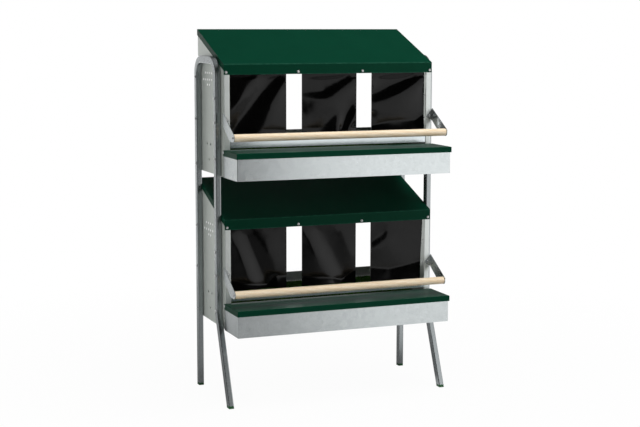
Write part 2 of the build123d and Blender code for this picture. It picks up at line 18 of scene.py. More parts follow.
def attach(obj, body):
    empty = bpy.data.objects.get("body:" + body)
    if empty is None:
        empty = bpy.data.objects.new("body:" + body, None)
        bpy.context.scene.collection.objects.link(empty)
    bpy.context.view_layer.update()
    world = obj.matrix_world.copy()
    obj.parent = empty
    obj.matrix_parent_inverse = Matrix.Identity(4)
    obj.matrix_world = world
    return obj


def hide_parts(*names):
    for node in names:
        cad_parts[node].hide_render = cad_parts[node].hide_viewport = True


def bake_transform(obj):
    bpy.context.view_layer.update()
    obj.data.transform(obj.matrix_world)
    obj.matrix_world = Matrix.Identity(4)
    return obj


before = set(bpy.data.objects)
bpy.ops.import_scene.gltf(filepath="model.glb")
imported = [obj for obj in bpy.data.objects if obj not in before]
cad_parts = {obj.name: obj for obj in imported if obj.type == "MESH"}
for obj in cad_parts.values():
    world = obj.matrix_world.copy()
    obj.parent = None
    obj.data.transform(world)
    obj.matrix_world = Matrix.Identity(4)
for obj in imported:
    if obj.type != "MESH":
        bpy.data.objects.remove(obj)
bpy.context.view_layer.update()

log = logging.getLogger("nest")

STAND = "stand"
TIER_PITCH = 0.618
LOWER_FOOT = 0.298
MM = 0.001
FULL_TURN = 2 * math.pi
WHITE = (1.0, 1.0, 1.0, 1.0)

# A Mix node has sockets for numbers, vectors and colours: these are the ones that mix colours.
MIX_FACTOR, MIX_FIRST, MIX_SECOND, MIX_RESULT = 0, 6, 7, 2

Colour = tuple[float, float, float, float]
Ways = tuple[float, float, float]
Socket = bpy.types.NodeSocket

# Where a range starts and ends and, if these aren't 0 and 1, what its start and end become.
Ramp = tuple[float, ...]

# A point of a fold in millimetres: across, down and forward.
Knot = tuple[float, float, float]


class Axis(IntEnum):
    """The frame's axes, by their place in a point."""

    X = 0
    Y = 1
    Z = 2


class Spot(Enum):
    """A part of the nest that the names of its nodes speak of."""

    @property
    def word(self) -> str:
        """The word for it in a node's name."""
        return self.name.lower()


class Tier(Spot):
    """The two nests, by the height of their panels' feet above the floor."""

    LOWER = LOWER_FOOT
    UPPER = LOWER_FOOT + TIER_PITCH


class Place(Spot):
    """The three entrances of a tier, by the middle of their curtain along X."""

    LEFT = -0.307
    MIDDLE = 0.0
    RIGHT = 0.307


class Head(Enum):
    """The kinds of fastener head."""

    DOME = "dome"
    CROSS = "cross"


class Facing(Enum):
    """The ways in which a fastener's head looks."""

    FRONT = "front"
    OUTWARD = "outward"


@dataclass
class Graph:
    """A node tree that is being filled."""

    tree: bpy.types.NodeTree

    @classmethod
    def of(cls, owner: bpy.types.Material | bpy.types.World) -> "Graph":
        """Empties the tree of a material or a world.

        Args:
            owner: What the tree belongs to.

        Returns:
            The empty graph.
        """
        owner.use_nodes = True
        owner.node_tree.nodes.clear()
        return cls(owner.node_tree)

    def add(
        self, kind: str, inputs: dict[str | int, Any] | None = None, **settings: Any
    ) -> bpy.types.Node:
        """Adds one node.

        Args:
            kind: Blender's class name without its ShaderNode start.
            inputs: Socket names or places, each with a value, or a socket to link from.
            settings: Attributes of the node.

        Returns:
            The new node.
        """
        node = self.tree.nodes.new("ShaderNode" + kind)
        for name, value in settings.items():
            setattr(node, name, value)
        for key, value in (inputs or {}).items():
            self.feed(node.inputs[key], value)
        return node

    def feed(self, socket: Socket, value: Any) -> None:
        """Links a socket to another, or sets its value.

        Args:
            socket: The input.
            value: A socket to link from, or a plain value.
        """
        if isinstance(value, bpy.types.NodeSocket):
            self.tree.links.new(value, socket)
        else:
            socket.default_value = value

    def sum(self, operation: str, *values: Any) -> Socket:
        """Works out a number.

        Args:
            operation: Blender's name of the sum, such as MULTIPLY.
            values: Numbers or sockets.

        Returns:
            The result's socket.
        """
        return self.add("Math", dict(enumerate(values)), operation=operation).outputs[0]

    def weigh(self, *pairs: tuple[Socket, float]) -> Socket:
        """Adds up values, each times its weight.

        Args:
            pairs: Each value with its weight.

        Returns:
            The total's socket.
        """
        (value, weight), *others = pairs
        total = self.sum("MULTIPLY", value, weight)
        for value, weight in others:
            total = self.sum("MULTIPLY_ADD", value, weight, total)
        return total

    def vector(self, operation: str, *values: Any) -> Socket:
        """Works out a vector.

        Args:
            operation: Blender's name of the sum, such as NORMALIZE.
            values: Vectors or sockets.

        Returns:
            The result's socket, which is a number for LENGTH and DOT_PRODUCT.
        """
        node = self.add("VectorMath", dict(enumerate(values)), operation=operation)
        return node.outputs["Value" if operation in ("LENGTH", "DOT_PRODUCT") else "Vector"]

    def along(self, axis: Axis, vector: Socket) -> Socket:
        """One coordinate of a vector."""
        return self.add("SeparateXYZ", {0: vector}).outputs[axis]

    def spread(
        self, value: Socket, low: float, high: float, first: float = 0.0, last: float = 1.0
    ) -> Socket:
        """Stretches a value from one range to another, and holds it there.

        Args:
            value: The value to stretch.
            low: Where the range starts.
            high: Where it ends.
            first: What the start becomes.
            last: What the end becomes.

        Returns:
            The stretched value's socket.
        """
        inputs = {"Value": value, "From Min": low, "From Max": high, "To Min": first, "To Max": last}
        return self.add("MapRange", inputs).outputs[0]

    def tint(self, share: Any, first: Any, second: Any, way: str = "MIX") -> Socket:
        """Mixes two colours.

        Args:
            share: How much of the second colour there is.
            first: A colour or a socket.
            second: A colour or a socket.
            way: Blender's name of the way to mix, such as MULTIPLY.

        Returns:
            The mixed colour's socket.
        """
        inputs = {MIX_FACTOR: share, MIX_FIRST: first, MIX_SECOND: second}
        return self.add("Mix", inputs, data_type="RGBA", blend_type=way).outputs[MIX_RESULT]

    def noise(self, place: Socket, scale: Any, detail: float = 2.0, rough: float = 0.5) -> Socket:
        """Adds a cloudy pattern.

        Args:
            place: The coordinates.
            scale: Lumps to a metre.
            detail: How many finer layers it has.
            rough: How strong the finer layers are.

        Returns:
            The pattern's socket, from 0 to 1.
        """
        inputs = {"Vector": place, "Scale": scale, "Detail": detail, "Roughness": rough}
        return self.add("TexNoise", inputs).outputs[0]

    def shader(self, kind: str, inputs: dict[str, Any]) -> Socket:
        """Adds a shader with its inputs."""
        return self.add(kind, inputs).outputs[0]

    def mix(self, share: Socket, first: Socket, second: Socket) -> Socket:
        """Mixes two shaders, by the share of the second."""
        return self.add("MixShader", {0: share, 1: first, 2: second}).outputs[0]

    def object_place(self) -> Socket:
        """The coordinates in the frame of the whole nest."""
        return self.add("TexCoord").outputs["Object"]

    def bump(self, height: Socket, depth: float, strength: float) -> Socket:
        """Turns a height pattern into a normal.

        Args:
            height: The pattern, from 0 to 1.
            depth: What 1 stands for, in metres.
            strength: How much of it shows.

        Returns:
            The normal's socket.
        """
        inputs = {"Strength": strength, "Distance": depth, "Height": height}
        return self.add("Bump", inputs).outputs[0]


class Effect:
    """A shader effect that is placed more than once, built the first time."""

    title: str = ""
    takes: tuple[tuple[str, str], ...] = ()
    gives: tuple[str, ...] = ()

    def fill(self, graph: Graph, ins: dict[str, Socket]) -> dict[str, Socket]:
        """Builds the effect's nodes.

        Args:
            graph: The group's tree.
            ins: The group's inputs by name.

        Returns:
            The sockets that leave the group, by name.
        """
        raise NotImplementedError

    def group(self) -> bpy.types.NodeTree:
        """Finds the effect's node group, or builds it.

        Returns:
            The node group.
        """
        found = bpy.data.node_groups.get(self.title)
        if found is not None:
            return found
        tree = bpy.data.node_groups.new(self.title, "ShaderNodeTree")
        for name, kind in self.takes:
            tree.interface.new_socket(name, in_out="INPUT", socket_type="NodeSocket" + kind)
        for name in self.gives:
            tree.interface.new_socket(name, in_out="OUTPUT", socket_type="NodeSocketFloat")
        way_in = tree.nodes.new("NodeGroupInput")
        way_out = tree.nodes.new("NodeGroupOutput")
        made = self.fill(Graph(tree), {name: way_in.outputs[name] for name, _ in self.takes})
        for name, socket in made.items():
            tree.links.new(socket, way_out.inputs[name])
        return tree

    def place(self, graph: Graph, **values: Any) -> dict[str, Socket]:
        """Puts the effect into a material with its own values.

        Args:
            graph: The material's tree.
            values: The effect's inputs by name.

        Returns:
            The effect's outputs by name.
        """
        node = graph.tree.nodes.new("ShaderNodeGroup")
        node.node_tree = self.group()
        for name, value in values.items():
            graph.feed(node.inputs[name], value)
        return {name: node.outputs[name] for name in self.gives}


class LongGrain(Effect):
    """Lines that run along one way, as rolling, drawing or growth leaves them."""

    title = "long grain"
    takes = (("Place", "Vector"), ("Stretch", "Vector"), ("Scale", "Float"))
    gives = ("Line", "Band")
    band_scale: float = 0.13

    def fill(self, graph: Graph, ins: dict[str, Socket]) -> dict[str, Socket]:
        """Builds fine lines and broad bands.

        Args:
            graph: The group's tree.
            ins: The group's inputs by name.

        Returns:
            The lines and the bands.
        """
        drawn = graph.vector("MULTIPLY", ins["Place"], ins["Stretch"])
        line = graph.noise(drawn, ins["Scale"], detail=3.0, rough=0.6)
        broad = graph.noise(drawn, graph.sum("MULTIPLY", ins["Scale"], self.band_scale), detail=1.0)
        return {"Line": line, "Band": broad}


class Spangle(Effect):
    """The crystal patches of a zinc coat."""

    title = "zinc spangle"
    takes = (("Place", "Vector"), ("Scale", "Float"))
    gives = ("Tone", "Rim")
    wander: Ways = (0.012, 0.012, 0.012)
    finer: float = 2.7
    large_share: float = 0.65
    fine_share: float = 0.35
    rim: Ramp = (0.0, 0.09, 1.0, 0.0)

    def fill(self, graph: Graph, ins: dict[str, Socket]) -> dict[str, Socket]:
        """Builds two sizes of crystal over each other.

        Args:
            graph: The group's tree.
            ins: The group's inputs by name.

        Returns:
            Each crystal's tone and the rims between crystals.
        """
        uneven = graph.add("TexNoise", {"Vector": ins["Place"], "Scale": ins["Scale"], "Detail": 2.0})
        pull = graph.vector("MULTIPLY", uneven.outputs["Color"], self.wander)
        place = graph.vector("ADD", ins["Place"], pull)
        tones = []
        for scale in (ins["Scale"], graph.sum("MULTIPLY", ins["Scale"], self.finer)):
            crystal = graph.add("TexVoronoi", {"Vector": place, "Scale": scale})
            tones.append(graph.add("SeparateColor", {0: crystal.outputs["Color"]}).outputs[0])
        tone = graph.weigh((tones[1], self.fine_share), (tones[0], self.large_share))
        edge = graph.add(
            "TexVoronoi", {"Vector": place, "Scale": ins["Scale"]}, feature="DISTANCE_TO_EDGE"
        )
        return {"Tone": tone, "Rim": graph.spread(edge.outputs["Distance"], *self.rim)}


class Pitting(Effect):
    """The fine unevenness of a sprayed coat or a moulded skin."""

    title = "pitting"
    takes = (("Place", "Vector"), ("Scale", "Float"))
    gives = ("Height",)
    finer: float = 3.1
    lump_share: float = 0.7
    fine_share: float = 0.3

    def fill(self, graph: Graph, ins: dict[str, Socket]) -> dict[str, Socket]:
        """Builds small lumps with finer ones on them.

        Args:
            graph: The group's tree.
            ins: The group's inputs by name.

        Returns:
            The height.
        """
        lumps = graph.noise(ins["Place"], ins["Scale"], detail=1.0)
        fine = graph.noise(ins["Place"], graph.sum("MULTIPLY", ins["Scale"], self.finer))
        return {"Height": graph.weigh((lumps, self.lump_share), (fine, self.fine_share))}


class Dust(Effect):
    """Dust that settles on faces that look up."""

    title = "settled dust"
    takes = (("Place", "Vector"), ("Amount", "Float"))
    gives = ("Share",)
    lying: Ramp = (0.15, 0.95, 0.12, 1.0)
    drift_scale: float = 21.0
    drift: Ramp = (0.35, 0.75)

    def fill(self, graph: Graph, ins: dict[str, Socket]) -> dict[str, Socket]:
        """Builds drifts of dust on the upper faces.

        Args:
            graph: The group's tree.
            ins: The group's inputs by name.

        Returns:
            The share of dust.
        """
        up = graph.along(Axis.Z, graph.add("NewGeometry").outputs["Normal"])
        cloud = graph.noise(ins["Place"], self.drift_scale, detail=5.0, rough=0.65)
        drifts = graph.sum("MULTIPLY", graph.spread(up, *self.lying), graph.spread(cloud, *self.drift))
        return {"Share": graph.sum("MULTIPLY", drifts, ins["Amount"])}


class EdgeRub(Effect):
    """Painted highlight along an edge that lies at one height in both tiers."""

    title = "edge rub"
    takes = (("Place", "Vector"), ("Edge", "Float"), ("Width", "Float"))
    gives = ("Share",)
    patch_scale: float = 60.0
    patchy: Ramp = (0.38, 0.62, 0.25, 1.0)

    def fill(self, graph: Graph, ins: dict[str, Socket]) -> dict[str, Socket]:
        """Builds a broken band above and below the edge.

        Args:
            graph: The group's tree.
            ins: The group's inputs by name.

        Returns:
            The share of painted highlight.
        """
        height = graph.along(Axis.Z, ins["Place"])
        local = graph.sum("FLOORED_MODULO", graph.sum("SUBTRACT", height, LOWER_FOOT), TIER_PITCH)
        apart = graph.sum("ABSOLUTE", graph.sum("SUBTRACT", local, ins["Edge"]))
        off = graph.sum("MINIMUM", graph.sum("DIVIDE", apart, ins["Width"]), 1.0)
        near = graph.sum("SUBTRACT", 1.0, off)
        cloud = graph.noise(ins["Place"], self.patch_scale, detail=4.0, rough=0.7)
        return {"Share": graph.sum("MULTIPLY", near, graph.spread(cloud, *self.patchy))}


class Look(NamedTuple):
    """The patterns of a finish, with how much of a metal it is."""

    base: Socket
    uneven: Socket
    height: Socket
    metal: Any = 0.0


@dataclass(frozen=True)
class Finish:
    """A surface finish, with the record's slot that it stands for.

    Its roughness is rough plus an uneven pattern, less what mean_uneven takes off again.
    """

    title: str
    slot: str
    rough: float = 0.42
    mean_uneven: float = 0.0
    gloss: float = 0.5
    depth: float = 0.05 * MM
    relief: float = 0.6

    def draw(self, graph: Graph, place: Socket) -> Look:
        """Draws the finish's patterns.

        Args:
            graph: The material's tree.
            place: The coordinates in the frame of the whole nest.

        Returns:
            The patterns.
        """
        raise NotImplementedError

    def material(self) -> bpy.types.Material:
        """Finds the finish's material, or builds it.

        Returns:
            The material.
        """
        found = bpy.data.materials.get(self.title)
        if found is not None:
            return found
        made = bpy.data.materials.new(self.title)
        graph = Graph.of(made)
        look = self.draw(graph, graph.object_place())
        inputs = {
            "Base Color": look.base,
            "Metallic": look.metal,
            "Roughness": graph.sum("ADD", look.uneven, self.rough - self.mean_uneven),
            "Specular IOR Level": self.gloss,
            "Normal": graph.bump(look.height, self.depth, self.relief),
        }
        graph.add("OutputMaterial", {"Surface": graph.shader("BsdfPrincipled", inputs)})
        return made

    def dress(self, *names: str) -> None:
        """Gives CAD nodes this finish.

        Args:
            names: The nodes' names.
        """
        for name in names:
            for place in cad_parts[name].material_slots:
                place.material = self.material()
            log.info("%s: %s", name, self.title)


@dataclass(frozen=True)
class ZincCoat(Finish):
    """Hot-dip galvanised steel: crystal patches, rolling lines, a little bloom.

    The broad values are for faces that look left or right, where these differ from the others; the darker
    colour there is painted shade.
    """

    dark: Colour = (0.650, 0.694, 0.700, 1.0)
    light: Colour = (0.740, 0.786, 0.792, 1.0)
    bloom: Colour = (0.66, 0.67, 0.66, 1.0)
    metal: float = 0.95
    rough: float = 0.25
    mean_uneven: float = 0.04
    depth: float = 0.03 * MM
    cells: float = 60.0
    clouds: float = 7.0
    stretch: Ways = (0.03, 1.0, 1.0)
    lines: float = 420.0
    dust: float = 0.06
    crystal_tone: float = 0.45
    cloud_tone: float = 0.4
    line_tone: float = 0.18
    tones: Ramp = (0.25, 0.8)
    crystal_rough: float = 0.03
    cloud_rough: float = 0.05
    dust_rough: float = 0.3
    rim_height: float = 0.25
    line_height: float = 0.5
    broad_from: Ramp = (0.6, 0.9)
    broad_tone: Colour = WHITE
    broad_rough: float = 0.0
    broad_metal: float = 0.0

    def draw(self, graph: Graph, place: Socket) -> Look:
        """Draws the zinc.

        Args:
            graph: The material's tree.
            place: The coordinates in the frame of the whole nest.

        Returns:
            The patterns.
        """
        crystal = Spangle().place(graph, Place=place, Scale=self.cells)
        line = LongGrain().place(graph, Place=place, Stretch=self.stretch, Scale=self.lines)["Line"]
        settled = Dust().place(graph, Place=place, Amount=self.dust)["Share"]
        cloud = graph.noise(place, self.clouds, detail=4.0, rough=0.6)
        tone = graph.weigh(
            (cloud, self.cloud_tone), (crystal["Tone"], self.crystal_tone), (line, self.line_tone)
        )
        base = graph.tint(graph.spread(tone, *self.tones), self.dark, self.light)
        base = graph.tint(settled, base, self.bloom)
        uneven = graph.weigh(
            (cloud, self.cloud_rough), (crystal["Tone"], self.crystal_rough), (settled, self.dust_rough)
        )
        height = graph.weigh((line, self.line_height), (crystal["Rim"], self.rim_height))
        if not self.broad_rough:
            return Look(base, uneven, height, self.metal)
        # Faces that look left or right get a darker colour here: painted shade for the dimmer light on
        # them.
        normal = graph.add("NewGeometry").outputs["True Normal"]
        broad = graph.spread(graph.sum("ABSOLUTE", graph.along(Axis.X, normal)), *self.broad_from)
        base = graph.tint(1.0, base, graph.tint(broad, WHITE, self.broad_tone), "MULTIPLY")
        uneven = graph.sum("MULTIPLY_ADD", broad, self.broad_rough - self.rough, uneven)
        return Look(base, uneven, height, graph.spread(broad, 0.0, 1.0, self.metal, self.broad_metal))


@dataclass(frozen=True)
class GreenCoat(Finish):
    """Dark green enamel on sheet steel, with painted highlight lines along some of its bends and free
    edges.
    """

    deep: Colour = (0.0005, 0.034, 0.0172, 1.0)
    fresh: Colour = (0.0008, 0.038, 0.0192, 1.0)
    rubbed: Colour = (0.030, 0.120, 0.080, 1.0)
    dusty: Colour = (0.20, 0.23, 0.20, 1.0)
    rough: float = 0.36
    mean_uneven: float = 0.01
    gloss: float = 0.045
    depth: float = 0.008 * MM
    relief: float = 0.5
    clouds: float = 11.0
    tones: Ramp = (0.3, 0.7)
    # Heights in a tier of the lines that are lightened as painted highlight, on the fascia and the egg
    # lid's front lip.
    edges: tuple[float, ...] = (0.4056, 0.4462, 0.0860)
    edge_width: float = 3.5 * MM
    rub: float = 0.55
    dust: float = 0.003
    cloud_rough: float = 0.02
    dust_rough: float = 0.6
    peel: float = 520.0

    def draw(self, graph: Graph, place: Socket) -> Look:
        """Draws the enamel.

        Args:
            graph: The material's tree.
            place: The coordinates in the frame of the whole nest.

        Returns:
            The patterns.
        """
        cloud = graph.noise(place, self.clouds, detail=5.0, rough=0.6)
        base = graph.tint(graph.spread(cloud, *self.tones), self.deep, self.fresh)
        # Each edge gets a lighter broken band: painted highlight standing in for light caught along the
        # bend.
        for edge in self.edges:
            worn = EdgeRub().place(graph, Place=place, Edge=edge, Width=self.edge_width)["Share"]
            base = graph.tint(graph.sum("MULTIPLY", worn, self.rub), base, self.rubbed)
        settled = Dust().place(graph, Place=place, Amount=self.dust)["Share"]
        uneven = graph.weigh((settled, self.dust_rough), (cloud, self.cloud_rough))
        height = Pitting().place(graph, Place=place, Scale=self.peel)["Height"]
        return Look(graph.tint(settled, base, self.dusty), uneven, height)


@dataclass(frozen=True)
class BlackFilm(Finish):
    """Heavy black plastic film, glossy, with faint crumpling and handling marks."""

    deep: Colour = (0.0006, 0.0006, 0.0006, 1.0)
    worn: Colour = (0.0022, 0.0022, 0.0021, 1.0)
    dusty: Colour = (0.12, 0.115, 0.10, 1.0)
    rough: float = 0.15
    mean_uneven: float = 0.03
    gloss: float = 0.25
    depth: float = 1.2 * MM
    clouds: float = 26.0
    mark_stretch: Ways = (1.0, 1.0, 0.12)
    marks: float = 160.0
    marked: Ramp = (0.52, 0.72)
    dust: float = 0.004
    cloud_rough: float = 0.06
    worn_rough: float = 0.08
    pits: float = 900.0
    pit_height: float = 0.004
    crumples: float = 20.0

    def draw(self, graph: Graph, place: Socket) -> Look:
        """Draws the film.

        Args:
            graph: The material's tree.
            place: The coordinates in the frame of the whole nest.

        Returns:
            The patterns.
        """
        cloud = graph.noise(place, self.clouds, detail=5.0, rough=0.6)
        mark = LongGrain().place(graph, Place=place, Stretch=self.mark_stretch, Scale=self.marks)["Line"]
        worn = graph.sum("MULTIPLY", graph.spread(mark, *self.marked), cloud)
        settled = Dust().place(graph, Place=place, Amount=self.dust)["Share"]
        base = graph.tint(settled, graph.tint(worn, self.deep, self.worn), self.dusty)
        uneven = graph.weigh((worn, self.worn_rough), (cloud, self.cloud_rough))
        pit = Pitting().place(graph, Place=place, Scale=self.pits)["Height"]
        crumple = graph.noise(place, self.crumples, detail=1.0)
        return Look(base, uneven, graph.sum("MULTIPLY_ADD", pit, self.pit_height, crumple))


@dataclass(frozen=True)
class Beech(Finish):
    """Turned beech: pale, straight grained, with short brown flecks."""

    pale: Colour = (0.91, 0.79, 0.61, 1.0)
    warm: Colour = (0.80, 0.60, 0.37, 1.0)
    fleck: Colour = (0.46, 0.29, 0.16, 1.0)
    mean_uneven: float = 0.08
    depth: float = 0.12 * MM
    relief: float = 0.5
    fibre_stretch: Ways = (0.03, 1.0, 1.0)
    fibres: float = 900.0
    ring_stretch: Ways = (0.12, 1.0, 1.0)
    rings: float = 34.0
    ring_sway: float = 3.0
    fleck_stretch: Ways = (0.28, 1.0, 1.0)
    flecks: float = 640.0
    flecked: Ramp = (0.66, 0.74, 0.0, 0.5)
    ring_tone: float = 0.35
    fibre_tone: float = 0.5
    band_tone: float = 0.3
    tones: Ramp = (0.3, 0.95)
    fibre_rough: float = 0.16

    def draw(self, graph: Graph, place: Socket) -> Look:
        """Draws the wood.

        Args:
            graph: The material's tree.
            place: The coordinates in the frame of the whole nest.

        Returns:
            The patterns.
        """
        fibre = LongGrain().place(graph, Place=place, Stretch=self.fibre_stretch, Scale=self.fibres)
        wave = {
            "Vector": graph.vector("MULTIPLY", place, self.ring_stretch),
            "Scale": self.rings,
            "Distortion": self.ring_sway,
            "Detail": 2.0,
            "Detail Scale": 6.0,
        }
        ring = graph.add("TexWave", wave, wave_type="BANDS", bands_direction="DIAGONAL").outputs[1]
        tone = graph.weigh(
            (fibre["Line"], self.fibre_tone), (ring, self.ring_tone), (fibre["Band"], self.band_tone)
        )
        base = graph.tint(graph.spread(tone, *self.tones), self.pale, self.warm)
        dashes = graph.noise(graph.vector("MULTIPLY", place, self.fleck_stretch), self.flecks, detail=1.0)
        base = graph.tint(graph.spread(dashes, *self.flecked), base, self.fleck)
        return Look(base, graph.sum("MULTIPLY", fibre["Line"], self.fibre_rough), fibre["Line"])


@dataclass(frozen=True)
class TurfFibre(Finish):
    """Green plastic grass, darker at the roots as painted shade."""

    root: Colour = (0.010, 0.034, 0.001, 1.0)
    blade: Colour = (0.050, 0.230, 0.003, 1.0)
    tip: Colour = (0.100, 0.340, 0.008, 1.0)
    gloss: float = 0.3
    depth: float = 0.08 * MM
    relief: float = 0.5
    mixing: float = 120.0
    tones: Ramp = (0.35, 0.68)
    patches: float = 14.0
    patch_tone: float = 0.25
    mixed_rough: Ramp = (0.3, 0.7, 0.0, 0.2)
    ribs: float = 2200.0

    def draw(self, graph: Graph, place: Socket) -> Look:
        """Draws the grass.

        Args:
            graph: The material's tree.
            place: The coordinates in the frame of the whole nest.

        Returns:
            The patterns.
        """
        up = graph.add("Attribute", attribute_name=TurfMat.shade).outputs["Fac"]
        mixed = graph.noise(place, self.mixing, detail=3.0, rough=0.7)
        blade = graph.tint(graph.spread(mixed, *self.tones), self.blade, self.tip)
        grown = graph.sum("MULTIPLY_ADD", graph.noise(place, self.patches), self.patch_tone, up)
        rib = Pitting().place(graph, Place=place, Scale=self.ribs)["Height"]
        # Blades darken toward their roots: painted shade among the tufts.
        return Look(graph.tint(grown, self.root, blade), graph.spread(mixed, *self.mixed_rough), rib)


@dataclass(frozen=True)
class MouldedPlastic(Finish):
    """The pushed-on feet: moulded plastic with a fine skin and a scuffed sole."""

    deep: Colour = (0.004, 0.060, 0.012, 1.0)
    fresh: Colour = (0.007, 0.100, 0.022, 1.0)
    scuffed: Colour = (0.12, 0.16, 0.11, 1.0)
    clouds: float = 70.0
    tones: Ramp = (0.3, 0.7)
    sole: Ramp = (0.001, 0.006, 1.0, 0.0)
    scuffs: Ramp = (0.45, 0.65, 0.0, 0.5)
    scuff_rough: float = 0.3
    skin: float = 1300.0

    def draw(self, graph: Graph, place: Socket) -> Look:
        """Draws the plastic.

        Args:
            graph: The material's tree.
            place: The coordinates in the frame of the whole nest.

        Returns:
            The patterns.
        """
        cloud = graph.noise(place, self.clouds, detail=3.0)
        base = graph.tint(graph.spread(cloud, *self.tones), self.deep, self.fresh)
        low = graph.spread(graph.along(Axis.Z, place), *self.sole)
        scuff = graph.sum("MULTIPLY", low, graph.spread(cloud, *self.scuffs))
        height = Pitting().place(graph, Place=place, Scale=self.skin)["Height"]
        uneven = graph.sum("MULTIPLY", scuff, self.scuff_rough)
        return Look(graph.tint(scuff, base, self.scuffed), uneven, height)


@dataclass(frozen=True)
class Finishes:
    """Every finish of the nest."""

    sheet: ZincCoat = ZincCoat("galvanised sheet", "galvanised_sheet")
    panel: ZincCoat = ZincCoat(
        "galvanised side sheet",
        "galvanised_sheet",
        dark=(0.77, 0.81, 0.79, 1.0),
        light=(0.84, 0.88, 0.86, 1.0),
        metal=0.75,
        rough=0.40,
        # The side faces are darkened as painted shade.
        broad_tone=(0.70, 0.715, 0.685, 1.0),
        broad_rough=0.36,
        broad_metal=0.3,
    )
    strip: ZincCoat = ZincCoat(
        "galvanised threshold strip",
        "galvanised_sheet",
        dark=(0.68, 0.74, 0.76, 1.0),
        light=(0.76, 0.82, 0.84, 1.0),
        rough=0.15,
    )
    tube: ZincCoat = ZincCoat(
        "galvanised tube",
        "galvanised_tube",
        dark=(0.372, 0.402, 0.410, 1.0),
        light=(0.420, 0.450, 0.458, 1.0),
        cells=110.0,
        stretch=(1.0, 1.0, 0.03),
        lines=700.0,
        dust=0.02,
        depth=0.003 * MM,
    )
    # Darker as painted shade for the inside of the nest; also rougher and less metallic than the other
    # sheet.
    dull: ZincCoat = ZincCoat(
        "dull galvanised sheet",
        "galvanised_sheet",
        dark=(0.40, 0.41, 0.40, 1.0),
        light=(0.47, 0.48, 0.47, 1.0),
        metal=0.55,
        rough=0.5,
    )
    hardware: ZincCoat = ZincCoat(
        "bright zinc hardware",
        "zinc_hardware",
        dark=(0.74, 0.75, 0.76, 1.0),
        light=(0.90, 0.91, 0.91, 1.0),
        metal=0.7,
        rough=0.27,
        cells=420.0,
        stretch=(1.0, 1.0, 1.0),
        lines=2400.0,
        dust=0.03,
    )
    green: GreenCoat = GreenCoat("green enamel", "green_paint")
    film: BlackFilm = BlackFilm("black curtain film", "curtain_film")
    beech: Beech = Beech("turned beech", "beech")
    turf: TurfFibre = TurfFibre("plastic turf", "turf")
    cap: MouldedPlastic = MouldedPlastic("green moulded foot", "green_cap")


def put(name: str, data: bpy.types.ID) -> bpy.types.Object:
    """Puts an object into the scene.

    Args:
        name: The object's name.
        data: Its mesh, lamp or camera.

    Returns:
        The new object.
    """
    made = bpy.data.objects.new(name, data)
    bpy.context.scene.collection.objects.link(made)
    return made


def new_piece(
    name: str, points: np.ndarray, faces: Sequence[Sequence[int]], finish: Finish, crease: float
) -> bpy.types.Object:
    """Makes a piece from points and faces.

    Args:
        name: The piece's name.
        points: The corners, one to a row.
        faces: Corner numbers, one face to an entry.
        finish: What it is dressed in.
        crease: Edges sharper than this many degrees stay sharp.

    Returns:
        The new object.
    """
    mesh = bpy.data.meshes.new(name)
    mesh.from_pydata(points.tolist(), [], [list(map(int, face)) for face in faces])
    mesh.polygons.foreach_set("use_smooth", [True] * len(mesh.polygons))
    mesh.set_sharp_from_angle(angle=math.radians(crease))
    mesh.materials.append(finish.material())
    mesh.validate()
    piece = put(name, mesh)
    log.info("%s: %d faces", name, len(mesh.polygons))
    return piece


def node_points(node: str) -> np.ndarray:
    """Reads the corners of a CAD node.

    Args:
        node: The node's name.

    Returns:
        The corners, one to a row.
    """
    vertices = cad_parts[node].data.vertices
    places = np.empty(len(vertices) * 3)
    vertices.foreach_get("co", places)
    return places.reshape(-1, 3)


def solid_boxes(node: str, decimals: int = 5) -> list[tuple[np.ndarray, np.ndarray]]:
    """Finds the separate solids of a CAD node.

    Args:
        node: The node's name.
        decimals: Corners that agree to this many decimals are one corner.

    Returns:
        The lowest and highest corner of each solid.
    """
    spots, weld = np.unique(node_points(node).round(decimals), axis=0, return_inverse=True)
    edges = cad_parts[node].data.edges
    ends = np.empty(len(edges) * 2, dtype=np.int64)
    edges.foreach_get("vertices", ends)
    ends = weld.reshape(-1)[ends].reshape(-1, 2)
    label = np.arange(len(spots))
    while True:
        lowest = label[ends].min(axis=1)
        spreading = label.copy()
        for end in ends.T:
            np.minimum.at(spreading, end, lowest)
        if (spreading == label).all():
            break
        label = spreading
    groups = [spots[label == mark] for mark in np.unique(label)]
    return [(group.min(axis=0), group.max(axis=0)) for group in groups]


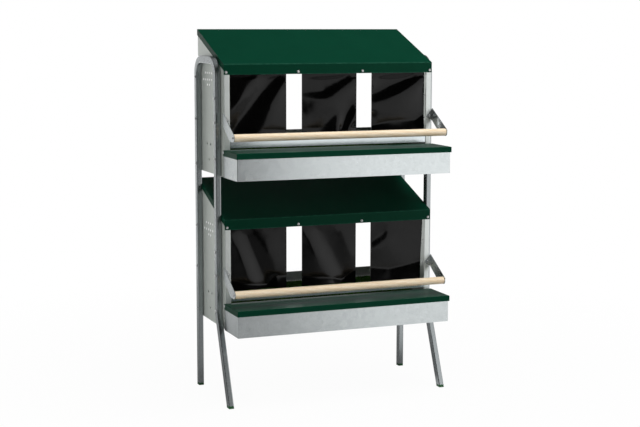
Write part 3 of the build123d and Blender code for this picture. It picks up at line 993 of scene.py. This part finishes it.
@dataclass
class Fasteners:
    """One CAD node of screws or bolts, with their heads and threads worked out.

    Plain numbers are shares of the head's radius or height, or of the shank's radius.
    """

    node: str
    head: Head
    facing: Facing
    finish: Finish
    head_height: float = 3.5 * MM
    shank: float = 2.5 * MM
    pitch: float = 1.1 * MM
    thread: float = 8.0 * MM
    fewest_turns: int = 2
    plain: float = 2.5 * MM
    point: float = 1.0 * MM
    point_share: float = 0.62
    root_share: float = 0.82
    around: int = 32
    crown_rings: int = 9
    crown_start: float = 0.12
    crown_base: float = 0.28
    skirt: float = 0.08
    seat_share: float = 0.96
    slot_half: float = 0.19
    slot_side: float = 0.05
    slot_reach: float = 0.56
    slot_end: float = 0.10
    slot_depth: float = 0.55
    crease: float = 28.0

    def head_profile(self, radius: float) -> list[tuple[float, float]]:
        """Draws the head from its middle out to its seat.

        Args:
            radius: The head's radius.

        Returns:
            Radius and height of each ring, the seat at height 0.
        """
        crown = []
        for share in np.sin(np.linspace(self.crown_start, 1.0, self.crown_rings) * math.pi / 2):
            rise = (1.0 - self.crown_base) * math.sqrt(max(0.0, 1.0 - share * share))
            crown.append((radius * share, self.head_height * (self.crown_base + rise)))
        rim = (radius, self.head_height * self.skirt)
        return [*crown, rim, (radius * self.seat_share, 0.0), (self.shank, 0.0)]

    def shank_profile(self, length: float) -> list[tuple[float, float]]:
        """Draws the threaded shank from the seat to its tip.

        Args:
            length: From the seat to the tip.

        Returns:
            Radius and height of each ring.
        """
        threaded = min(length - self.plain, self.thread)
        turns = max(self.fewest_turns, int(threaded / self.pitch))
        start = length - self.point - turns * self.pitch
        rings = [(self.shank, -start)]
        for turn in range(turns):
            top = start + turn * self.pitch
            rings.append((self.shank * self.root_share, -(top + self.pitch / 2)))
            rings.append((self.shank, -(top + self.pitch)))
        return [*rings, (self.shank * self.point_share, -length)]

    def recess(self, ring: np.ndarray, radius: float) -> np.ndarray:
        """Works out how deep the cross slot is at each point of a ring.

        Args:
            ring: Points across the head, one to a row.
            radius: The head's radius.

        Returns:
            The depth at each point.
        """
        if self.head is Head.DOME:
            return np.zeros(len(ring))
        far = np.abs(ring).max(axis=1) / radius
        near = np.abs(ring).min(axis=1) / radius
        inside = np.clip((self.slot_half - near) / self.slot_side, 0.0, 1.0)
        arm = inside * np.clip((self.slot_reach - far) / self.slot_end, 0.0, 1.0)
        return arm * self.head_height * self.slot_depth

    def skin(self, rings: int) -> list[list[int]]:
        """Joins the rings, the middle of the head and the middle of the tip.

        Args:
            rings: How many rings there are.

        Returns:
            The faces, by corner numbers.
        """
        steps = [(step, (step + 1) % self.around) for step in range(self.around)]
        crown = rings * self.around
        last = crown - self.around
        faces = []
        for ring in range(0, last, self.around):
            below = ring + self.around
            faces.extend([ring + here, below + here, below + on, ring + on] for here, on in steps)
        faces.extend([crown, here, on] for here, on in steps)
        faces.extend([crown + 1, last + on, last + here] for here, on in steps)
        return faces

    def one(self, low: np.ndarray, high: np.ndarray) -> tuple[np.ndarray, list[list[int]]]:
        """Builds one fastener in the box of its solid.

        Args:
            low: The box's lowest corner.
            high: The box's highest corner.

        Returns:
            The points and faces.
        """
        middle = (low + high) / 2
        if self.facing is Facing.FRONT:
            axis, out, side = Axis.Y, np.array((0.0, -1.0, 0.0)), np.array((1.0, 0.0, 0.0))
        else:
            outward = np.sign(middle[Axis.X])
            axis, out, side = Axis.X, np.array((outward, 0.0, 0.0)), np.array((0.0, 1.0, 0.0))
        up = np.cross(out, side)
        length = (high - low)[axis]
        radius = (high - low)[Axis.Z] / 2
        seat = middle + out * (length / 2 - self.head_height)
        rings = [*self.head_profile(radius), *self.shank_profile(length - self.head_height)]
        turn = np.linspace(0.0, FULL_TURN, self.around, endpoint=False)
        circle = np.column_stack((np.cos(turn), np.sin(turn)))
        points = []
        for number, (size, height) in enumerate(rings):
            flat = circle * size
            drop = self.recess(flat, radius) if number < self.crown_rings else np.zeros(self.around)
            points.append(seat + flat[:, :1] * side + flat[:, 1:] * up + (height - drop)[:, None] * out)
        top = self.head_height - self.recess(np.zeros((1, 2)), radius)[0]
        points.append((seat + out * top)[None])
        points.append((seat - out * (length - self.head_height))[None])
        return np.concatenate(points), self.skin(len(rings))

    def build(self) -> bpy.types.Object:
        """Builds the whole group as one piece in place of its CAD node.

        Returns:
            The piece.
        """
        points, faces, count = [], [], 0
        for low, high in solid_boxes(self.node):
            some, these = self.one(low, high)
            points.append(some)
            faces.extend([corner + count for corner in face] for face in these)
            count += len(some)
        piece = new_piece(self.node + "_cut", np.concatenate(points), faces, self.finish, self.crease)
        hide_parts(self.node)
        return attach(piece, STAND)


@dataclass(frozen=True)
class Folds:
    """One film's crests and valleys, and the line below which its foot curls forward, in millimetres.

    The kick is the curled foot's angle in degrees, and the right lean is how far the right edge comes
    in at the foot, as a share of the width.
    """

    lines: tuple[tuple[Knot, ...], ...]
    curl: tuple[tuple[float, float], ...]
    kick: float
    right_lean: float = 0.0
    step: float = 8.5

    def knots(self) -> Iterator[Knot]:
        """Walks along every crest and valley.

        Yields:
            Points about a step apart.
        """
        for line in self.lines:
            for first, last in zip(line, line[1:]):
                count = max(1, round(math.dist(first[:2], last[:2]) / self.step))
                for share in np.linspace(0.0, 1.0, count, endpoint=False):
                    yield tuple(float(a + (b - a) * share) for a, b in zip(first, last))
            yield line[-1]


@dataclass
class Curtain:
    """One hanging sheet of black film with its folds.

    Its sides are pulled in where they stand forward, and held flat where no fold is near. The folds
    grow from nothing over flat_top, a share of the drop.
    """

    tier: Tier
    place: Place
    folds: Folds
    finish: Finish
    width: float = 0.240
    drop: float = 0.252
    thickness: float = 1.2 * MM
    hang_y: float = -0.072
    hang_height: float = 0.411
    pivot_height: float = 0.410
    bend: float = 0.060
    edge_pull: float = 0.4
    edge_band: float = 0.25
    edge_knots: int = 11
    edge_clear: float = 22.0 * MM
    slack: float = 1.5 * MM
    curl_round: float = 2.0 * MM
    flat_top: float = 0.13
    rounding: int = 7
    columns: int = 72
    rows: int = 76
    crease: float = 60.0

    @property
    def body(self) -> str:
        """The CAD node and body of this curtain."""
        return f"{self.tier.word}_{self.place.word}_curtain"

    def forward(self, across: np.ndarray, down: np.ndarray) -> np.ndarray:
        """Works out how far the film stands forward.

        Args:
            across: Shares of the width.
            down: Shares of the drop.

        Returns:
            Metres forward of the hanging plane.
        """
        size = np.array((self.width, self.drop))
        knots = np.array(list(self.folds.knots())) * MM
        steps = np.linspace(0.0, 1.0, self.edge_knots)
        edges = [(share, 0.0) for share in steps]
        edges.extend((side, share) for side in (0.0, 1.0) for share in steps[1:])
        still = np.array(edges) * size
        apart = np.linalg.norm(still[:, None] - knots[None, :, :2], axis=2)
        still = still[apart.min(axis=1) > self.edge_clear]
        spots = np.concatenate((knots[:, :2], still))
        heights = np.concatenate((knots[:, 2], np.zeros(len(still))))
        apart = np.linalg.norm(spots[:, None] - spots[None], axis=2)
        weights = np.linalg.solve(apart - self.slack * np.eye(len(spots)), heights)
        asked = np.column_stack((across.ravel(), down.ravel())) * size
        reach = np.linalg.norm(asked[:, None] - spots[None], axis=2) @ weights
        return reach.reshape(across.shape)

    def softened(self, grid: np.ndarray) -> np.ndarray:
        """Rounds the sharpest creases of a grid.

        Args:
            grid: The grid.

        Returns:
            The rounded grid.
        """
        for _ in range(self.rounding):
            wide = np.pad(grid, 1, mode="edge")
            ring = wide[:-2, 1:-1] + wide[2:, 1:-1] + wide[1:-1, :-2] + wide[1:-1, 2:]
            grid = (grid + ring / 4) / 2
        return grid

    def surface(self) -> np.ndarray:
        """Lays out the film's middle surface.

        Returns:
            A grid of points, rows from the top down.
        """
        across, down = np.meshgrid(
            np.linspace(0.0, 1.0, self.columns + 1), np.linspace(0.0, 1.0, self.rows + 1)
        )
        fade = np.clip(down / self.flat_top, 0.0, 1.0)
        forward = self.softened(self.forward(across, down)) * fade * fade * (3 - 2 * fade)
        curl = np.array(self.folds.curl) * MM
        start = self.softened(np.interp(across * self.width, curl[:, 0], curl[:, 1]))
        past = np.clip(down * self.drop - start, 0.0, None)
        turned = np.hypot(past, self.curl_round) - self.curl_round
        forward = forward + math.tan(math.radians(self.folds.kick)) * turned
        lean = across * (1.0 - down * self.folds.right_lean)
        edge = np.clip((np.abs(2.0 * across - 1.0) - 1.0) / self.edge_band + 1.0, 0.0, 1.0)
        x = self.place.value + (lean - 0.5) * self.width - self.edge_pull * edge * forward
        z = self.tier.value + self.hang_height - down * self.drop
        return np.stack((x, self.hang_y - forward, z), axis=2)

    def skin(self) -> list[list[int]]:
        """Joins the film's front, back and rim.

        Returns:
            The faces, by corner numbers.
        """
        wide, tall = self.columns + 1, self.rows + 1
        back = wide * tall
        numbers = np.arange(back).reshape(tall, wide)
        faces = []
        for first in numbers[:-1, :-1].ravel():
            quad = [first, first + wide, first + wide + 1, first + 1]
            faces.append(quad)
            faces.append([back + corner for corner in reversed(quad)])
        for rim in (numbers[0], numbers[-1, ::-1], numbers[::-1, 0], numbers[:, -1]):
            faces.extend([a, b, back + b, back + a] for a, b in zip(rim, rim[1:]))
        return faces

    def build(self) -> bpy.types.Object:
        """Builds the film as a closed thin sheet and hangs it on the rail.

        Returns:
            The piece.
        """
        grid = self.surface()
        normal = np.cross(np.gradient(grid, axis=0), np.gradient(grid, axis=1))
        normal /= np.linalg.norm(normal, axis=2, keepdims=True)
        sides = [grid + normal * half for half in (self.thickness / 2, -self.thickness / 2)]
        points = np.concatenate([side.reshape(-1, 3) for side in sides])
        piece = new_piece(self.body + "_film", points, self.skin(), self.finish, self.crease)
        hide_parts(self.body)
        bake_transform(piece)
        return piece


@dataclass
class TurfMat:
    """The nest's mat: a backing with tufts of plastic grass.

    The shoulder and the rooted part are shares of the backing's height, the scatter is one of the
    spacing, and the levels are shares of a blade's length and width. A lean is in radians.
    """

    tier: Tier
    finish: Finish
    floor_rise: float = 0.108
    floor_run: float = 0.509
    backing: float = 3.0 * MM
    shoulder: float = 0.7
    edge_round: float = 0.8 * MM
    spacing: float = 9.5 * MM
    inset: float = 2.5 * MM
    scatter: float = 0.38
    blades: int = 5
    blade_length: float = 8.2 * MM
    blade_width: float = 2.1 * MM
    shortest: float = 0.75
    least_lean: float = 0.10
    most_lean: float = 0.75
    bow: float = 1.7
    rooted: float = 0.9
    upright: float = 0.8
    levels: tuple[tuple[float, float], ...] = ((0.0, 1.0), (0.55, 0.8), (1.0, 0.0))
    blade_points: int = 5
    seed: int = 7
    crease: float = 30.0
    shade: str = "up_blade"

    @property
    def node(self) -> str:
        """The CAD node of this mat."""
        return f"{self.tier.word}_turf_mat"

    def ways(self) -> np.ndarray:
        """Works out the slab's own axes.

        Returns:
            The ways along X, up the slope and off the floor, one to a row.
        """
        slope = math.atan2(self.floor_rise, self.floor_run)
        rise = (0.0, math.cos(slope), math.sin(slope))
        off = (0.0, -math.sin(slope), math.cos(slope))
        return np.array(((1.0, 0.0, 0.0), rise, off))

    def tufts(self, low: np.ndarray, high: np.ndarray) -> tuple[np.ndarray, np.ndarray]:
        """Sets out the blades in the slab's own frame.

        Args:
            low: The slab's lowest extents.
            high: The slab's highest extents.

        Returns:
            The points, five to a blade, and how far up its blade each is.
        """
        random = np.random.default_rng(self.seed + len(self.tier.word))
        rows = [np.arange(low[way] + self.inset, high[way] - self.inset, self.spacing) for way in (0, 1)]
        spots = np.repeat(np.stack(np.meshgrid(*rows), axis=2).reshape(-1, 2), self.blades, axis=0)
        number = len(spots)
        spots = spots + random.uniform(-self.scatter, self.scatter, (number, 2)) * self.spacing
        turn = random.uniform(0.0, FULL_TURN, number)
        lean = random.uniform(self.least_lean, self.most_lean, number)
        length = self.blade_length * random.uniform(self.shortest, 1.0, number)
        toward = np.column_stack((np.cos(turn), np.sin(turn)))
        across = np.column_stack((-np.sin(turn), np.cos(turn))) * self.blade_width / 2
        foot = low[2] + self.backing * self.rooted
        points, heights = [], []
        for share, wide in self.levels:
            out = toward * (length * np.sin(lean) * share**self.bow)[:, None]
            height = foot + length * np.cos(lean * self.upright) * share
            for side in (-1.0, 1.0) if wide else (0.0,):
                flat = np.clip(spots + out + across * side * wide, low[:2], high[:2])
                points.append(np.column_stack((flat, height)))
                heights.append(np.full(number, share))
        return np.stack(points, axis=1).reshape(-1, 3), np.stack(heights, axis=1).reshape(-1)

    def slab(self, low: np.ndarray, high: np.ndarray) -> tuple[np.ndarray, list[list[int]]]:
        """Sets out the backing, with its upper edge rounded off, in the slab's own frame.

        Args:
            low: The slab's lowest extents.
            high: The slab's highest extents.

        Returns:
            The points and faces.
        """
        rings = ((0.0, 0.0), (self.backing * self.shoulder, 0.0), (self.backing, self.edge_round))
        corners = []
        for height, inset in rings:
            left, front = low[:2] + inset
            right, rear = high[:2] - inset
            outline = ((left, front), (right, front), (right, rear), (left, rear))
            corners.extend((x, y, low[2] + height) for x, y in outline)
        steps = [(step, (step + 1) % 4) for step in range(4)]
        faces = [[3, 2, 1, 0]]
        for ring in (0, 4):
            faces.extend([ring + here, ring + on, ring + 4 + on, ring + 4 + here] for here, on in steps)
        faces.append([8, 9, 10, 11])
        return np.array(corners), faces

    def build(self) -> bpy.types.Object:
        """Builds the backing and its tufts as one piece on the nest floor.

        Returns:
            The piece.
        """
        ways = self.ways()
        spans = node_points(self.node) @ ways.T
        low, high = spans.min(axis=0), spans.max(axis=0)
        blades, up = self.tufts(low, high)
        count = len(blades)
        faces = []
        for foot in range(0, count, self.blade_points):
            faces.append([foot, foot + 1, foot + 3, foot + 2])
            faces.append([foot + 2, foot + 3, foot + 4])
        corners, sides = self.slab(low, high)
        faces.extend([count + corner for corner in side] for side in sides)
        points = np.concatenate((blades, corners)) @ ways
        piece = new_piece(self.node + "_tufts", points, faces, self.finish, self.crease)
        shades = np.concatenate((up, np.zeros(len(corners)))).astype(np.float32)
        piece.data.attributes.new(self.shade, "FLOAT", "POINT").data.foreach_set("value", shades)
        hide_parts(self.node)
        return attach(piece, STAND)


@dataclass
class SideFrames:
    """The two tubular side frames with their feet and bolts."""

    finishes: Finishes
    sides: tuple[str, ...] = ("left", "right")
    tubes: tuple[str, ...] = ("rear_leg_tube", "front_leg_tube", "arch_sleeve")
    caps: tuple[str, ...] = ("front_foot_cap", "rear_foot_cap")
    bolt_head: float = 4.0 * MM
    bolt_shank: float = 3.0 * MM

    def build(self) -> None:
        """Dresses the tubes and feet, and cuts the bolts."""
        for side in self.sides:
            self.finishes.tube.dress(*(f"{side}_{tube}" for tube in self.tubes))
            self.finishes.cap.dress(*(f"{side}_{cap}" for cap in self.caps))
        zinc = self.finishes.hardware
        zinc.dress("frame_spacers", "frame_nuts")
        sizes = {"head_height": self.bolt_head, "shank": self.bolt_shank}
        Fasteners("frame_bolts", Head.DOME, Facing.OUTWARD, zinc, **sizes).build()


@dataclass
class TierPart:
    """A sub-assembly that each tier has."""

    tier: Tier
    finishes: Finishes

    def dress(self, finish: Finish, *names: str) -> None:
        """Gives some of the tier's CAD nodes a finish."""
        finish.dress(*(f"{self.tier.word}_{name}" for name in names))

    def screws(self, name: str, facing: Facing) -> None:
        """Cuts one group of the tier's cross-head screws."""
        Fasteners(f"{self.tier.word}_{name}", Head.CROSS, facing, self.finishes.hardware).build()


@dataclass
class Housing(TierPart):
    """A tier's sheet metal: roof, panels, floor, threshold and curtain rail."""

    def build(self) -> None:
        """Dresses the sheets and cuts the roof's screws."""
        self.dress(self.finishes.green, "roof")
        self.dress(self.finishes.panel, "left_side_panel", "right_side_panel")
        self.dress(self.finishes.strip, "threshold")
        # The rear panel and rail take the darker sheet: painted shade inside the nest.
        self.dress(self.finishes.dull, "rear_panel", "curtain_rail")
        self.dress(self.finishes.sheet, "nest_floor")
        self.screws("fascia_screws", Facing.FRONT)


@dataclass
class PerchRail(TierPart):
    """A tier's perch on its two strip brackets."""

    def build(self) -> None:
        """Dresses the perch and brackets, and cuts their screws."""
        self.dress(self.finishes.beech, "perch")
        self.dress(self.finishes.sheet, "left_perch_bracket", "right_perch_bracket")
        self.screws("bracket_bolts", Facing.FRONT)
        self.screws("perch_screws", Facing.OUTWARD)


@dataclass
class EggTray(TierPart):
    """A tier's egg tray with its hinged lid."""

    def build(self) -> None:
        """Dresses the tray and lid, and cuts their screws."""
        self.dress(self.finishes.sheet, "egg_tray")
        self.dress(self.finishes.green, "egg_lid")
        self.dress(self.finishes.hardware, "lid_pivot_nuts")
        self.screws("tray_screws", Facing.FRONT)
        self.screws("lid_pivot_screws", Facing.OUTWARD)


@dataclass
class CurtainSet:
    """The six curtains, each with its own folds."""

    finish: Finish

    def upper(self) -> dict[Place, Folds]:
        """Draws the folds of the upper tier.

        Returns:
            The folds of each entrance's film.
        """
        left = (
            ((115, 10, 5), (50, 90, 8), (0, 155, 6)),
            ((205, 15, -3), (115, 105, -5), (10, 225, -5)),
            ((240, 30, 4), (165, 125, 8), (110, 240, 8)),
        )
        middle = (
            ((0, 70, -5), (95, 75, -5), (200, 10, -4)),
            ((0, 110, 2), (105, 115, 7), (235, 35, 5)),
            ((65, 250, -3), (145, 175, 2)),
            ((160, 250, 8), (160, 180, 4)),
            ((170, 235, 0), (215, 140, -2)),
            ((195, 235, 10), (235, 170, 8)),
        )
        right = (
            ((195, 10, -6), (100, 50, -7), (0, 85, -7)),
            ((235, 35, 6), (120, 95, 10), (0, 150, 6)),
            ((35, 225, 1), (205, 225, 2)),
        )
        return {
            Place.LEFT: Folds(left, curl=((0, 250), (50, 220), (240, 230)), kick=10),
            Place.MIDDLE: Folds(middle, curl=((0, 225), (240, 225)), kick=10),
            Place.RIGHT: Folds(right, curl=((0, 220), (80, 205), (200, 200), (240, 175)), kick=20),
        }

    def lower(self) -> dict[Place, Folds]:
        """Draws the folds of the lower tier.

        Returns:
            The folds of each entrance's film.
        """
        left = (
            ((5, 40, 5), (50, 140, 8), (100, 250, 9)),
            ((60, 15, -2), (110, 125, -4), (155, 240, -4)),
            ((110, 30, 1), (150, 115, 4), (190, 190, 4)),
        )
        middle = (
            ((10, 30, 4), (60, 125, 9), (130, 240, 9)),
            ((70, 20, -2), (145, 140, -4), (195, 245, -4)),
            ((180, 40, 2), (220, 150, 3)),
        )
        right = (
            ((0, 95, -4), (65, 55, -2)),
            ((0, 120, 2), (80, 75, 4)),
            ((145, 125, 3), (170, 225, 4)),
        )
        left_curl = ((0, 215), (100, 235), (160, 240), (190, 205), (240, 210))
        middle_curl = ((0, 215), (110, 225), (180, 240), (240, 205))
        right_curl = ((0, 195), (90, 205), (160, 195), (240, 180))
        return {
            Place.LEFT: Folds(left, left_curl, kick=25),
            Place.MIDDLE: Folds(middle, middle_curl, kick=25),
            Place.RIGHT: Folds(right, right_curl, kick=25, right_lean=0.05),
        }

    def build(self) -> None:
        """Hangs all six curtains."""
        for tier, folds in ((Tier.UPPER, self.upper()), (Tier.LOWER, self.lower())):
            for place in Place:
                Curtain(tier, place, folds[place], self.finish).build()


@dataclass(frozen=True)
class Softbox:
    """A large soft lamp."""

    title: str
    stand: Ways
    aim: Ways
    size: tuple[float, float]
    radiance: float
    lights: bool = True
    mirrored: bool = True

    def build(self) -> bpy.types.Object:
        """Sets up the lamp.

        Returns:
            The lamp.
        """
        light = bpy.data.lights.new(self.title, "AREA")
        light.shape = "RECTANGLE"
        light.size, light.size_y = self.size
        light.energy = self.radiance * math.pi * self.size[0] * self.size[1]
        lamp = put(self.title, light)
        lamp.location = self.stand
        aim = Vector(self.aim) - Vector(self.stand)
        lamp.rotation_euler = aim.to_track_quat("-Z", "Y").to_euler()
        lamp.visible_camera = False
        lamp.visible_diffuse = self.lights
        lamp.visible_glossy = self.mirrored
        return lamp


@dataclass
class Studio:
    """A pale floor, a white background, soft lamps and the camera.

    To the camera the floor turns white with distance. In the metal its brightness goes by distance
    and by the way to it from the nest, and the background's goes by its height and its side.
    """

    floor_radius: float = 3.4
    floor_sides: int = 96
    floor_colour: Colour = (0.70, 0.70, 0.695, 1.0)
    floor_mottle: Colour = (0.66, 0.66, 0.65, 1.0)
    mottles: float = 3.0
    mottled: Ramp = (0.3, 0.7, 0.0, 0.06)
    seen: Ramp = (0.7, 2.6, 0.965, 1.0)
    lit_from: float = math.radians(19.0)
    lit_side: Ramp = (-0.25, 0.12, 0.33, 0.80)
    lit_behind: Ramp = (0.5, 2.0, 0.18, 0.48)
    lit_front: Ramp = (-0.45, 0.05, 1.0, 0.0)
    ambient_rise: Ramp = (-0.4, 0.8, 0.14, 0.26)
    ambient_back: Ramp = (0.0, 0.8, 1.0, 0.45)
    dark_side: Ways = (-0.75, -0.66, 0.0)
    horizon: Ramp = (-0.2, 0.3, 0.62, 0.04)
    above_horizon: Ramp = (0.05, 0.5, 1.0, 0.05)
    zenith: Ramp = (0.7, 0.9, 0.0, 0.3)
    lamps: tuple[Softbox, ...] = (
        Softbox("overhead softbox", (0.7, -1.2, 4.6), (0.0, 0.0, 0.8), (4.2, 3.6), 3.9, mirrored=False),
        Softbox("front right softbox", (2.35, -3.25, 1.25), (0.0, -0.1, 0.8), (3.2, 2.8), 1.0),
        Softbox("back reflector", (0.15, 2.1, 1.0), (0.15, 0.0, 1.0), (2.0, 1.8), 1.3, lights=False),
        Softbox("left reflector", (-3.0, 0.45, 1.1), (0.0, 0.45, 1.1), (3.2, 2.2), 0.35, lights=False),
        Softbox("left softbox", (-3.0, 0.1, 1.1), (0.0, 0.1, 1.0), (3.0, 2.2), 1.1, mirrored=False),
    )
    camera_at: Ways = (-2.17172, -5.39468, 1.51925)
    yaw: float = math.radians(21.8266)
    pitch: float = math.radians(-7.6457)
    roll: float = math.radians(0.0888)
    lens: float = 79.29
    sensor: float = 36.0
    nearest: float = 0.05
    farthest: float = 60.0

    @staticmethod
    def shown(graph: Graph, plain: Socket, mirrored: Socket, seen: Socket) -> Socket:
        """Shows one shader to the camera, one in the metal, and lights the nest by a third.

        Args:
            graph: The tree of a material or a world.
            plain: The shader that lights the nest.
            mirrored: The shader that shows in the metal.
            seen: The shader that the camera sees.

        Returns:
            The mixed shader's socket.
        """
        path = graph.add("LightPath").outputs
        direct = graph.sum("MAXIMUM", path["Is Camera Ray"], path["Is Transmission Ray"])
        return graph.mix(path["Is Glossy Ray"], graph.mix(direct, plain, seen), mirrored)

    def floor_material(self) -> bpy.types.Material:
        """Makes the floor's paper, which fades into the white background.

        Returns:
            The material.
        """
        made = bpy.data.materials.new("studio paper")
        graph = Graph.of(made)
        place = graph.object_place()
        cloud = graph.noise(place, self.mottles, detail=3.0)
        paper = graph.tint(graph.spread(cloud, *self.mottled), self.floor_colour, self.floor_mottle)
        matt = graph.shader("BsdfDiffuse", {"Color": paper})
        white = graph.shader("Emission", {"Color": WHITE, "Strength": 1.0})
        far = graph.vector("LENGTH", place)
        seen = graph.mix(graph.spread(far, *self.seen), matt, white)
        glow = self.floor_mirrored(graph, place, far)
        mirrored = graph.shader("Emission", {"Color": WHITE, "Strength": glow})
        graph.add("OutputMaterial", {"Surface": self.shown(graph, matt, mirrored, seen)})
        return made

    def floor_mirrored(self, graph: Graph, place: Socket, far: Socket) -> Socket:
        """Works out how bright the floor is in the metal: lit in front of the nest, dim behind it.

        Args:
            graph: The floor material's tree.
            place: The coordinates on the floor.
            far: The distance from the middle of the nest.

        Returns:
            The brightness.
        """
        way = graph.vector("NORMALIZE", place)
        side = (math.cos(self.lit_from), math.sin(self.lit_from), 0.0)
        front = graph.spread(graph.vector("DOT_PRODUCT", way, side), *self.lit_side)
        behind = graph.spread(far, *self.lit_behind)
        share = graph.spread(graph.along(Axis.Y, way), *self.lit_front)
        return graph.sum("MULTIPLY_ADD", graph.sum("SUBTRACT", front, behind), share, behind)

    def floor(self) -> bpy.types.Object:
        """Lays the floor as a round sheet of paper.

        Returns:
            The floor.
        """
        turn = np.linspace(0.0, FULL_TURN, self.floor_sides, endpoint=False)
        rim = np.column_stack((np.cos(turn), np.sin(turn), np.zeros_like(turn))) * self.floor_radius
        mesh = bpy.data.meshes.new("studio_floor")
        mesh.from_pydata(rim.tolist(), [], [list(range(len(rim)))])
        mesh.materials.append(self.floor_material())
        made = put("studio_floor", mesh)
        return made

    def world(self) -> None:
        """Makes the white background and the soft light round the nest."""
        world = bpy.data.worlds.new("studio")
        bpy.context.scene.world = world
        graph = Graph.of(world)
        way = graph.add("TexCoord").outputs["Generated"]
        up = graph.along(Axis.Z, way)
        horizon = graph.spread(graph.vector("DOT_PRODUCT", way, self.dark_side), *self.horizon)
        band = graph.spread(up, *self.above_horizon)
        glow = graph.sum("MULTIPLY_ADD", horizon, band, graph.spread(up, *self.zenith))
        level = graph.spread(up, *self.ambient_rise)
        level = graph.sum("MULTIPLY", level, graph.spread(graph.along(Axis.Y, way), *self.ambient_back))
        strengths = (level, glow, 1.0)
        shaders = [graph.shader("Background", {"Color": WHITE, "Strength": each}) for each in strengths]
        graph.add("OutputWorld", {"Surface": self.shown(graph, *shaders)})

    def camera(self) -> bpy.types.Object:
        """Sets up the camera where the photograph was taken.

        Returns:
            The camera.
        """
        data = bpy.data.cameras.new("photo_camera")
        data.lens, data.sensor_width, data.sensor_fit = self.lens, self.sensor, "HORIZONTAL"
        data.clip_start, data.clip_end = self.nearest, self.farthest
        level = Vector((math.cos(self.yaw), -math.sin(self.yaw), 0.0))
        flat = Vector((math.sin(self.yaw), math.cos(self.yaw), 0.0)) * math.cos(self.pitch)
        ahead = flat + Vector((0.0, 0.0, math.sin(self.pitch)))
        upward = level.cross(ahead)
        right = level * math.cos(self.roll) + upward * math.sin(self.roll)
        top = upward * math.cos(self.roll) - level * math.sin(self.roll)
        turned = Matrix((right, top, -ahead)).transposed().to_4x4()
        made = put("photo_camera", data)
        made.matrix_world = Matrix.Translation(self.camera_at) @ turned
        bpy.context.scene.camera = made
        return made

    def build(self) -> None:
        """Sets up the whole studio."""
        bpy.context.scene.view_settings.view_transform = "Standard"
        self.floor()
        self.world()
        for lamp in self.lamps:
            lamp.build()
        self.camera()
        log.info("studio: %d lamps", len(self.lamps))


def main() -> None:
    """Builds the studio, then the nest from its frames to its curtains."""
    logging.basicConfig(level=logging.INFO, format="%(message)s")
    finishes = Finishes()
    Studio().build()
    SideFrames(finishes).build()
    for tier in Tier:
        Housing(tier, finishes).build()
        TurfMat(tier, finishes.turf).build()
        PerchRail(tier, finishes).build()
        EggTray(tier, finishes).build()
    CurtainSet(finishes.film).build()


if __name__ == "__main__":
    main()
